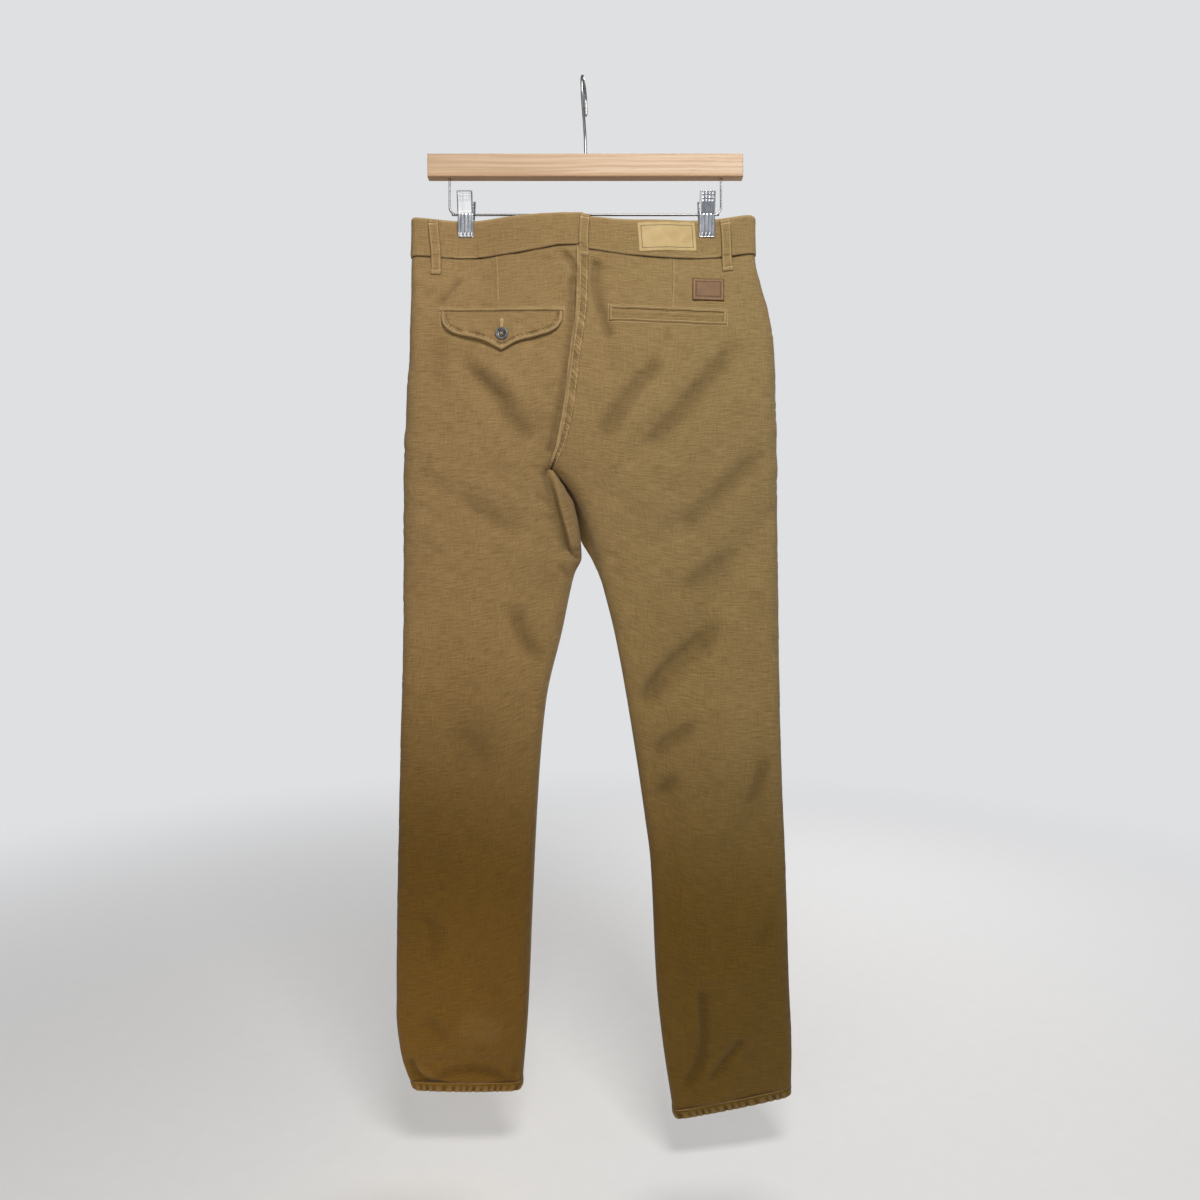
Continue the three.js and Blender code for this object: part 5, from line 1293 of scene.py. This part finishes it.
def sewn_button(name, face, x, z, radius, thickness, lift):
    """A button as a polar grid of points over its foot on the cloth, and the paths of its thread."""
    foot, way = (part[0] for part in on_cloth(face, np.array([x]), np.array([z]), lift))
    sideways = unit(np.cross(way, [0, 0, 1.0]))
    upwards = np.cross(sideways, way)
    steps, spokes = 26, 56
    share = np.concatenate([np.linspace(0.04, 0.86, 18), np.linspace(0.9, 1, steps - 18)])
    profile = [
        (0, 0.62), (0.5, 0.62), (0.62, 0.72), (0.72, 1), (0.88, 1), (0.94, 0.93), (0.98, 0.75), (1, 0.5),
    ]
    height = np.interp(share, *zip(*profile))
    holes = [(BUTTON_HOLE_FROM_MIDDLE * i, BUTTON_HOLE_FROM_MIDDLE * j) for i in (-1, 1) for j in (-1, 1)]
    points = [foot + way * thickness * 0.62]
    for s, h in zip(share, height):
        for k in range(spokes):
            angle = 2 * math.pi * k / spokes
            a, b = s * radius * math.cos(angle), s * radius * math.sin(angle)
            pits = sum(ridge((a - u) ** 2 + (b - v) ** 2, BUTTON_HOLE_RADIUS**2) for u, v in holes)
            points.append(foot + sideways * a + upwards * b + way * thickness * (h - 0.5 * min(pits, 1)))
    for s, h in ((0.96, 0.25), (0.78, 0.02), (0.3, 0.0)):
        for k in range(spokes):
            angle = 2 * math.pi * k / spokes
            out = sideways * math.cos(angle) + upwards * math.sin(angle)
            points.append(foot + out * s * radius + way * thickness * h)
    rings = len(share) + 3
    last = len(points)
    points.append(foot)
    faces = [(0, 1 + k, 1 + (k + 1) % spokes) for k in range(spokes)]
    for ring in range(rings - 1):
        for k in range(spokes):
            a, b = 1 + ring * spokes + k, 1 + ring * spokes + (k + 1) % spokes
            faces.append((a, a + spokes, b + spokes, b))
    under = 1 + (rings - 1) * spokes
    faces += [(last, under + (k + 1) % spokes, under + k) for k in range(spokes)]
    if way.dot(np.cross(sideways, upwards)) < 0:
        faces = [face[::-1] for face in faces]
    piece = new_piece(name, points, faces, shell_grey)
    in_dish = [1.0] + [float(s < 0.64) for s in share for _ in range(spokes)] + [0.0] * (3 * spokes + 1)
    piece.data.attributes.new("dish", "FLOAT", "POINT").data.foreach_set("value", in_dish)
    crossing = []
    for i in (-1, 1):
        ends = [(i, 1), (-i, -1)]
        crossing.append([
            foot + (sideways * a + upwards * b) * BUTTON_HOLE_FROM_MIDDLE * t + way * thickness * (0.62 + dz)
            for (a, b), t, dz in ((ends[0], 1, -0.3), (ends[0], 0.8, 0.03), (ends[0], 0, 0.2 + 0.1 * i),
                                  (ends[1], 0.8, 0.03), (ends[1], 1, -0.3))
        ])
    return piece, crossing


flap_button, flap_button_thread = sewn_button("flap_button", "back", *FLAP_BUTTON_AT, 7.6, 3.0, 2.3)
fit_piece(flap_button, "button_shell", "back_pocket_button")
waist_button, waist_button_thread = sewn_button("band_button", "front", *BAND_BUTTON_AT, 8.5, 3.0, 1.2)
fit_piece(waist_button, "button_shell", "waist_button")

# ---------- leather patch and label ----------
# A small patch of brown vegetable-tanned leather is stitched on under the band, and a stiff tan label
# is pasted on the band beside the right clip. Both are blank, with only a plain pressed border.
PATCH = {"x": 147.5, "z": -257, "width": 37.5, "height": 28, "turn": -1.5}
LABEL = {"x": 99.5, "z": -192, "width": 70, "height": 35.5, "turn": 4}


def tanned(name, light, dark, border_colour, border_in, border_width, size, bump):
    """Leather or stiff card: pores, cloudy tanning, and a pressed border at a distance from the edge."""
    material, shade = new_material(name)
    weave = shade.add("ShaderNodeUVMap", uv_map="weave")
    u, v = shade.axis(weave, "X"), shade.axis(weave, "Y")
    half_width, half_height = size[0] / 2 * MM, size[1] / 2 * MM
    in_from_sides = half_width - shade.maths("ABSOLUTE", u)
    from_edge = shade.maths("MINIMUM", in_from_sides, half_height - shade.maths("ABSOLUTE", v))
    off_border = shade.maths("ABSOLUTE", from_edge - border_in * MM)
    line = 1 - off_border.between(border_width * MM * 0.35, border_width * MM * 0.65)
    clouds = shade.noise(weave, 90, 4)
    pores = shade.noise(weave, 900, 3)
    tone = shade.mix(dark, light, (clouds * 0.6 + pores * 0.4).between(0.3, 0.7))
    edge_dark = 1 - from_edge.between(0.0, 0.0016)
    edged = shade.mix(tone, tuple(c * 0.55 for c in dark), edge_dark * 0.5)
    inked = shade.mix(edged, border_colour, line * 0.85)
    height = pores * 0.5 + clouds * 0.5 - line * 1.2
    relief = shade.add("ShaderNodeBump", {"Height": height, "Strength": bump, "Distance": 0.0003})
    polished(shade, {"Base Color": inked, "Roughness": 0.5 + pores * 0.2, "Normal": relief})
    return material


def flat_label(name, node, sizes, thickness, material, slot, seed, lift):
    """The patch or the label: a stiff sheet over the plain form of the right back."""
    x, z, along, up, from_edge = strip_grid(sizes, 60, 34)
    stand = thickness - 0.5 * np.exp(-from_edge / 0.5) - 0.28 * ridge(from_edge - 2.3, 0.8)
    stand += 0.22 * rumple(along, up, 17, seed)
    stand += 0.25 * (ripple(along + up, 6, seed) - 0.5) * np.exp(-from_edge / 2.5)
    points = np.stack([x, cloth_y("right", "back", x, z), z], -1)
    ways = cloth_normals("right", "back", x, z)
    outer, inner = points + ways * (stand + lift)[..., None], points + ways * (lift - 0.3)
    piece = closed_shell(name, outer, inner, material, np.stack([along, up], -1), 0 * along)
    fit_piece(piece, slot, node)


patch_leather = tanned(
    "patch_leather", (0.205, 0.096, 0.020), (0.132, 0.058, 0.013), (0.062, 0.027, 0.012), 4.6, 0.9,
    (PATCH["width"], PATCH["height"]), 0.6,
)
label_card = tanned(
    "label_card", (0.560, 0.415, 0.185), (0.470, 0.335, 0.135), (0.085, 0.055, 0.03), 4.4, 0.8,
    (LABEL["width"], LABEL["height"]), 0.4,
)
flat_label("patch", "leather_patch", PATCH, 1.3, patch_leather, "patch_leather", 81, 0.3)
flat_label("label", "waistband_label", LABEL, 1.0, label_card, "label_leather", 82, 1.0)

# ---------- belt loops ----------
# Five loops of canvas folded in three, so each has two rounded ridges with a flat between. The ends
# are turned under and held down by bar tacks, and between them the loop stands off the band.
LOOP_WIDTH = 12.2
LOOP_ROWS = 90
TACK_IN = 5.2
# node, face, x and height of the top, x and height of the bottom
LOOPS = [
    ("loop_centre_back", "back", 1.5, -166.5, 0.3, -217),
    ("loop_side_left", "back", -178.5, -171, -174.5, -237.5),
    ("loop_side_right", "back", 169, -170, 172, -234),
    ("loop_front_left", "front", -84, -175.5, -84, -235),
    ("loop_front_right", "front", 88, -175.5, 88, -234),
]


def band_lift(face, x, z):
    """How far the waistband stands off the plain form at a place, 0 below its seam."""
    left = x < 0 if face == "back" else x < BAND_CLOSES_X
    seam = np.where(left, waist_seam[face, "left"](x), waist_seam[face, "right"](x))
    return BAND_PROUD * soft_step(-1.5, 1.5, z - seam)


loop_rows = {}
for node, face, top_x, top_z, foot_x, foot_z in LOOPS:
    down, across = shares(LOOP_ROWS, 22)
    length = top_z - foot_z
    sway = 0.5 * np.sin(down * 6 + top_x)
    width = LOOP_WIDTH * (1 - 0.05 * np.sin(math.pi * down))
    x = top_x + (foot_x - top_x) * down + sway + (across - 0.5) * width
    z = top_z + (foot_z - top_z) * down + 0.6 * np.sin(across * 3 + top_x)
    side_in = np.minimum(across, 1 - across) * LOOP_WIDTH
    end_in = np.minimum(down, 1 - down) * length
    arch = 1.5 * np.sin(math.pi * np.clip((down - 0.08) / 0.84, 0, 1)) ** 0.6
    stand = 1.7 + 0.45 * ridge(side_in - 1.7, 1.1) - 1.3 * np.exp(-side_in / 0.5)
    stand += 0.35 * (ripple(z + across * 3, 6.5, int(abs(top_x)) + 5) - 0.4) * np.exp(-side_in / 2)
    stand += 0.7 * ridge(end_in - 3.5, 2.2) - np.exp(-end_in / 0.45)
    stand -= 0.9 * ridge(end_in - TACK_IN, 0.9)
    lift = band_lift(face, x, z)
    # Paler where rubbed on the ridges and near the ends; painted shadow along the loop's sides, where they
    # meet the band.
    rub = 0.9 * ridge(side_in - 1.5, 0.9) + 0.6 * ridge(end_in - 2.5, 2)
    rub = rub - 1.4 * np.exp(-side_in / 0.35)
    loop = laid_piece(f"belt_{node}", face, x, z, lift + arch + stand, lift + arch * 0.9 + 0.1, rub)
    fit_piece(loop, "cotton_canvas", node)
    # The threads of a tack lie side by side along its row, from one edge of the loop to the other.
    rows = []
    for share in (TACK_IN / length, 1 - TACK_IN / length):
        k = int(round(share * (LOOP_ROWS - 1)))
        rows.append((x[k, 1:-1], z[k, 1:-1]))
    loop_rows[face, node] = rows

# ---------- fly and front pockets ----------
# The cotton tape of the zip is covered by a placket that laps from the left and curves in at its foot.
# Beside it are two slanting pockets, each with a folded, double-stitched edge running out to the side.
FLY = {"top": -219, "foot": -392, "width": 36, "lap": 5}
ZIP = {"top": -225, "foot": -380, "width": 14}
FRONT_POCKET = {"top": -220, "foot": -366, "top_x": 127.5, "foot_x": 181.5, "edge": 10.5}
FRONT_POCKET_STITCHES_IN = (2.4, 7.4)

zip_tape, shade = new_material("zip_tape")
weave = shade.add("ShaderNodeUVMap", uv_map="weave")
ribs = shade.maths("SINE", (shade.axis(weave, "X") + shade.axis(weave, "Y")) * 9000)
lint = shade.noise(weave, 600, 3)
relief = shade.add("ShaderNodeBump", {"Height": ribs * 0.5 + lint, "Strength": 0.4, "Distance": 0.0003})
tape = shade.mix((0.11, 0.075, 0.04), (0.17, 0.12, 0.065), lint)
polished(shade, {"Base Color": tape, "Roughness": 0.85, "Normal": relief})

down, across = shares(100, 9)
z = ZIP["top"] + (ZIP["foot"] - ZIP["top"]) * down
x = centre_x(z) - 5 + (across - 0.5) * ZIP["width"]
stand = 0.45 + 0.25 * ridge(across - 0.5, 0.1)
tape_strip = laid_piece("zip_tape_strip", "front", x, z, stand, -0.3, 0 * x, zip_tape)
fit_piece(tape_strip, "zip_tape", "fly_zip")


def fly_edges(down, z):
    """The x of the placket's free edge and of its sewn edge, which curves in towards the foot."""
    foot_share = np.clip((down - 0.72) / 0.28, 0, 1)
    free_x = centre_x(z) + FLY["lap"] * (1 - 0.6 * foot_share)
    return free_x, centre_x(z) - FLY["width"] * np.sqrt(1 - 0.93 * foot_share**2)


down, across = shares(150, 40)
z = FLY["top"] + (FLY["foot"] - FLY["top"]) * down
free_x, sewn_x = fly_edges(down, z)
x = sewn_x + (free_x - sewn_x) * across
from_free, from_sewn = free_x - x, x - sewn_x
stand = 1.9 + 0.4 * ridge(from_free - 1.5, 1.2) - 1.8 * np.exp(-from_free / 0.5)
stand = stand * soft_step(0, 5, from_sewn) + 0.35
stand += 0.3 * rumple(x, z, 24, 91)
stand += 0.5 * (ripple(z + 0.6 * x, 8, 92) - 0.4) * ridge(from_sewn - 4, 4)
stand -= 0.6 * ridge(from_sewn - 4.5, 1.1)
fly = laid_piece("fly_front", "front", x, z, stand, 0.0, ridge(from_free - 1, 1.2))
fit_piece(fly, "cotton_canvas", "fly_placket")


def pocket_fold(side, down):
    """The x and z of a front pocket's folded edge, from its top, 0, to its foot, 1."""
    out = FRONT_POCKET["top_x"] + (FRONT_POCKET["foot_x"] - FRONT_POCKET["top_x"]) * down
    return SIGN[side] * out, FRONT_POCKET["top"] + (FRONT_POCKET["foot"] - FRONT_POCKET["top"]) * down


for side in ("left", "right"):
    down, across = shares(150, 24)
    fold_x, z = pocket_fold(side, down)
    from_fold = across * FRONT_POCKET["edge"]
    x = fold_x + SIGN[side] * from_fold
    stand = 1.55 - 1.4 * np.exp(-from_fold / 0.5) + 0.35 * ridge(from_fold - 1.4, 1)
    for inset in FRONT_POCKET_STITCHES_IN:
        stand -= 0.5 * ridge(from_fold - inset, 0.6)
    stand *= soft_step(0, 2.5, FRONT_POCKET["edge"] - from_fold)
    stand += 0.5 * (ripple(z + from_fold, 8, 93) - 0.4) * soft_step(0, 3, from_fold)
    stand *= soft_step(0, 0.02, down) * soft_step(0, 0.03, 1 - down)
    rub = 0.9 * ridge(from_fold - 1.2, 1.2)
    edge = laid_piece(f"front_pocket_edge_{side}", "front", x, z, stand + 0.1, -0.5, rub)
    fit_piece(edge, "cotton_canvas", f"front_pocket_{side}")

# ---------- stitching ----------
# Cotton thread close to the canvas in colour, a little paler where it has rubbed. One Geometry Nodes
# tree makes every row: it cuts a line on the cloth into stitches and lays a plump, bowed stitch on
# each, with both of its ends pulled down into the cloth.
thread, shade = new_material("thread")
place = shade.add("ShaderNodeTexCoord", out="Object")
twist = shade.noise(place, 1800, 3)
fading = shade.noise(place, 45, 3)
colour = shade.mix((0.46, 0.32, 0.15), (0.84, 0.66, 0.40), (twist * 0.4 + fading * 0.6).between(0.3, 0.66))
relief = shade.add("ShaderNodeBump", {"Height": twist, "Strength": 0.4, "Distance": 0.0002})
polished(shade, {"Base Color": colour, "Roughness": 0.75, "Normal": relief, "Specular IOR Level": 0.3})

tree = bpy.data.node_groups.new("row_of_stitches", "GeometryNodeTree")
tree.interface.new_socket("Rows", in_out="INPUT", socket_type="NodeSocketGeometry")
for setting in ("Spacing", "Stitch length", "Thread radius", "Turn", "Unevenness"):
    tree.interface.new_socket(setting, in_out="INPUT", socket_type="NodeSocketFloat")
tree.interface.new_socket("Seed", in_out="INPUT", socket_type="NodeSocketInt")
tree.interface.new_socket("Thread", in_out="INPUT", socket_type="NodeSocketMaterial")
tree.interface.new_socket("Stitches", in_out="OUTPUT", socket_type="NodeSocketGeometry")
tree_inputs = {item.name: item.identifier for item in tree.interface.items_tree}


def tree_node(kind, inputs, out=0, **settings):
    """A node of the tree, each input given as a value or as another node's socket; returns its output."""
    node = tree.nodes.new(kind)
    for name, value in settings.items():
        setattr(node, name, value)
    for name, value in inputs.items():
        if isinstance(value, bpy.types.NodeSocket):
            tree.links.new(value, node.inputs[name])
        else:
            node.inputs[name].default_value = value
    return node.outputs[out]


def tree_maths(operation, *values):
    return tree_node("ShaderNodeMath", dict(enumerate(values)), operation=operation)


given = tree.nodes.new("NodeGroupInput").outputs
half = tree_maths("MULTIPLY", given["Stitch length"], 0.5)
sunk = tree_maths("MULTIPLY", given["Thread radius"], -1.3)
start = tree_node("ShaderNodeCombineXYZ", {"X": tree_maths("MULTIPLY", half, -1.0), "Z": sunk})
middle = tree_node("ShaderNodeCombineXYZ", {"Z": tree_maths("MULTIPLY", given["Thread radius"], 1.7)})
end = tree_node("ShaderNodeCombineXYZ", {"X": half, "Z": sunk})
bow = tree_node(
    "GeometryNodeCurveQuadraticBezier", {"Resolution": 5, "Start": start, "Middle": middle, "End": end}
)
swell = tree_maths("SINE", tree_maths("MULTIPLY", tree_node("GeometryNodeSplineParameter", {}), math.pi))
swell = tree_maths("MULTIPLY_ADD", swell, 0.45, 0.55)
section = tree_node("GeometryNodeCurvePrimitiveCircle", {"Resolution": 6, "Radius": given["Thread radius"]})
one_stitch = tree_node("GeometryNodeCurveToMesh", {
    "Curve": bow, "Profile Curve": section, "Scale": swell, "Fill Caps": True,
})
lines = tree_node("GeometryNodeMeshToCurve", {"Mesh": given["Rows"]})
places = tree_node("GeometryNodeResampleCurve", {"Curve": lines, "Length": given["Spacing"]}, mode="LENGTH")
tangent = tree_node("GeometryNodeInputTangent", {})
way_on = tree_node("FunctionNodeAlignRotationToVector", {"Vector": tangent}, axis="X", pivot_axis="AUTO")
lie = tree_node("GeometryNodeInputNamedAttribute", {"Name": "lie"}, data_type="FLOAT_VECTOR")
lying = tree_node(
    "FunctionNodeAlignRotationToVector", {"Rotation": way_on, "Vector": lie}, axis="Z", pivot_axis="X"
)
stray = tree_node("FunctionNodeRandomValue", {
    2: tree_maths("MULTIPLY", given["Unevenness"], -1.0), 3: given["Unevenness"], "Seed": given["Seed"],
}, out=1, data_type="FLOAT")
quarter = tree_node("FunctionNodeAxisAngleToRotation", {
    "Axis": (0, 0, 1), "Angle": tree_maths("ADD", given["Turn"], stray),
})
turned = tree_node(
    "FunctionNodeRotateRotation", {"Rotation": lying, "Rotate By": quarter}, rotation_space="LOCAL"
)
laid = tree_node(
    "GeometryNodeInstanceOnPoints", {"Points": places, "Instance": one_stitch, "Rotation": turned}
)
solid = tree_node("GeometryNodeRealizeInstances", {"Geometry": laid})
soft = tree_node("GeometryNodeSetShadeSmooth", {"Geometry": solid})
dyed = tree_node("GeometryNodeSetMaterial", {"Geometry": soft, "Material": given["Thread"]})
tree.links.new(dyed, tree.nodes.new("NodeGroupOutput").inputs["Stitches"])

bpy.context.view_layer.update()
depsgraph = bpy.context.evaluated_depsgraph_get()
cloth_on_show = [
    piece for piece in bpy.context.scene.objects
    if piece.type == "MESH" and piece.data.materials and piece.data.materials[0] in (canvas, patch_leather)
]
cloth_hits = [BVHTree.FromObject(piece, depsgraph) for piece in cloth_on_show]


def laid_on_cloth(face, x, z, lift=0.05):
    """Where a row of places meets whatever cloth shows there, and the outward ways, in metres."""
    points, ways = [], []
    for px, pz in zip(np.asarray(x, float), np.asarray(z, float)):
        start = Vector((px * MM, SIGN[face] * 0.2, pz * MM))
        hits = [hit.ray_cast(start, Vector((0, -SIGN[face], 0)), 0.4) for hit in cloth_hits]
        where, way, _, _ = min((hit for hit in hits if hit[0]), key=lambda hit: hit[3])
        points.append(where)
        ways.append(way)
    ways = np.array(ways)
    padded = np.concatenate([ways[:1], ways[:1], ways, ways[-1:], ways[-1:]])
    ways = unit(sum(padded[k:len(padded) - 4 + k] for k in range(5)))
    return np.array(points) + ways * lift * MM, ways


def line_between(corners, step=0.8):
    """Places about a step apart along straight lines from corner to corner."""
    corners = np.asarray(corners, float)
    lengths = np.concatenate([[0], np.hypot(*np.diff(corners, axis=0).T).cumsum()])
    at = np.linspace(0, lengths[-1], max(3, int(lengths[-1] / step)))
    return np.interp(at, lengths, corners[:, 0]), np.interp(at, lengths, corners[:, 1])


def sew(name, rows, spacing=2.7, length=2.4, radius=0.34, turn=0.0, unevenness=0.1, seed=1):
    """Rows of (points, outward ways), in metres, made into one piece of stitching."""
    points, ways, joins = [], [], []
    for where, way in rows:
        first = len(points)
        points += [tuple(point) for point in where]
        ways += [tuple(w) for w in way]
        joins += [(first + k, first + k + 1) for k in range(len(where) - 1)]
    lines = bpy.data.meshes.new(name)
    lines.from_pydata(points, joins, [])
    lines.attributes.new("lie", "FLOAT_VECTOR", "POINT").data.foreach_set("vector", np.array(ways).ravel())
    sewn = bpy.data.objects.new(name, lines)
    bpy.context.scene.collection.objects.link(sewn)
    rows_to_stitches = sewn.modifiers.new("stitches", "NODES")
    rows_to_stitches.node_group = tree
    for setting, value in {
        "Spacing": spacing * MM, "Stitch length": length * MM, "Thread radius": radius * MM,
        "Turn": turn, "Unevenness": unevenness, "Seed": seed, "Thread": thread,
    }.items():
        rows_to_stitches[tree_inputs[setting]] = value
    bpy.context.view_layer.update()
    made = bpy.data.meshes.new_from_object(sewn.evaluated_get(bpy.context.evaluated_depsgraph_get()))
    sewn.modifiers.clear()
    sewn.data = made
    fit_piece(sewn, "cotton_canvas")


seam_z = np.linspace(SEAT_SEAM_TOP_Z - 14, SEAT_SEAM_END_Z + 5, 330)
seam_rows = [
    laid_on_cloth("back", centre_x(seam_z) + (share - 0.5) * SEAT_SEAM_WIDTH(seam_z), seam_z)
    for share in SEAT_STITCH_SHARES
]
sew("seat_seam_stitches", seam_rows, seed=2)

jet_left, jet_right = MOUTH["x"] - MOUTH["width"] / 2, MOUTH["x"] + MOUTH["width"] / 2
jet_top = MOUTH["z"] + MOUTH["height"] / 2
flap_row = flap_outline(FLAP_STITCH_IN)[9:-9]
flap_rows = [
    laid_on_cloth("back", *line_between(flap_row)),
    laid_on_cloth("back", *line_between([(jet_left + 1, jet_top + 0.7), (jet_right - 1, jet_top + 0.7)])),
    laid_on_cloth("back", *line_between([(jet_left + 0.6, jet_top - 1), (jet_left + 1.4, jet_top - 22)])),
    laid_on_cloth("back", *line_between([(jet_right - 0.8, jet_top - 1), (jet_right + 0.4, jet_top - 21)])),
]
sew("flap_stitches", flap_rows, spacing=2.5, length=2.0, seed=3)


def row_round(strip, beyond):
    """A closed row of stitches round a strip, at a distance beyond its edge."""
    half_width, half_height = strip["width"] / 2 + beyond, strip["height"] / 2 + beyond
    corners = [(a * half_width, b * half_height) for a, b in ((-1, 1), (1, 1), (1, -1), (-1, -1), (-1, 1))]
    return laid_on_cloth("back", *line_between([on_strip(strip, *corner) for corner in corners]))


sew("welt_stitches", [row_round(WELT, 0.8)], spacing=2.5, length=1.9, seed=4)
sew("patch_stitches", [row_round(PATCH, -2.3)], spacing=1.9, length=1.5, radius=0.22, seed=5)

tack_rows = []
for (face, node), rows in loop_rows.items():
    tack_rows += [laid_on_cloth(face, x, z, 0.1) for x, z in rows]
sew("loop_tacks", tack_rows, spacing=0.62, length=2.3, radius=0.3, turn=math.pi / 2, unevenness=0.25, seed=6)

sew("hem_stitches", [*hem_rows.values()], spacing=3.0, length=2.5, radius=0.27, seed=7)

down = np.linspace(0, 1, 240)
z = FLY["top"] - 4 + (FLY["foot"] - FLY["top"] + 5) * down
free_x, sewn_x = fly_edges(down, z)
fly_rows = []
for inset in (4.5, 9.5):
    inside = sewn_x + inset < free_x - 1
    fly_rows.append(laid_on_cloth("front", *line_between(np.stack([sewn_x + inset, z], -1)[inside])))
sew("fly_stitches", fly_rows, seed=8)

pocket_rows = []
for side in ("left", "right"):
    for inset in FRONT_POCKET_STITCHES_IN:
        ends = [pocket_fold(side, t) for t in (0.02, 0.97)]
        row = [(fold_x + SIGN[side] * inset, z) for fold_x, z in ends]
        pocket_rows.append(laid_on_cloth("front", *line_between(row)))
sew("front_pocket_stitches", pocket_rows, seed=9)

# Buttonholes are worked close, with stitches across a slit; the one in the flap ends in a round eye.
eye = [(1.5 * math.sin(a), 1.5 * math.cos(a) + 7.5) for a in np.radians(np.arange(-150, 151, 30))]
keyhole = [(-0.8, -8), (-0.8, 5.5), *eye, (0.8, 5.5), (0.8, -8)]
on_flap = [(FLAP_HOLE_X + a, FLAP_HOLE_Z + b) for a, b in keyhole]
on_band = [(BAND_BUTTON_AT[0] + b, BAND_BUTTON_AT[1] + a) for a, b in keyhole]
buttonhole_rows = [
    laid_on_cloth("back", *line_between(on_flap, 0.5), lift=0.12),
    laid_on_cloth("front", *line_between(on_band, 0.5), lift=0.12),
]
sew("buttonholes", buttonhole_rows, spacing=0.5, length=1.6, radius=0.24, turn=math.pi / 2, seed=10)

for name, paths in (("flap_button_thread", flap_button_thread), ("band_button_thread", waist_button_thread)):
    strands = []
    for path in paths:
        for apart in (-0.18, 0.18):
            bent = [np.asarray(point) + np.array([apart, 0, apart]) for point in path]
            strands.append(wire_mesh(smooth_line(bent, 4), 0.24, 6))
    points, faces = [], []
    for strand_points, strand_faces in strands:
        faces += [tuple(corner + len(points) for corner in face) for face in strand_faces]
        points += list(strand_points)
    button_thread = new_piece(name, points, faces, thread)
    fit_piece(button_thread, "cotton_canvas")
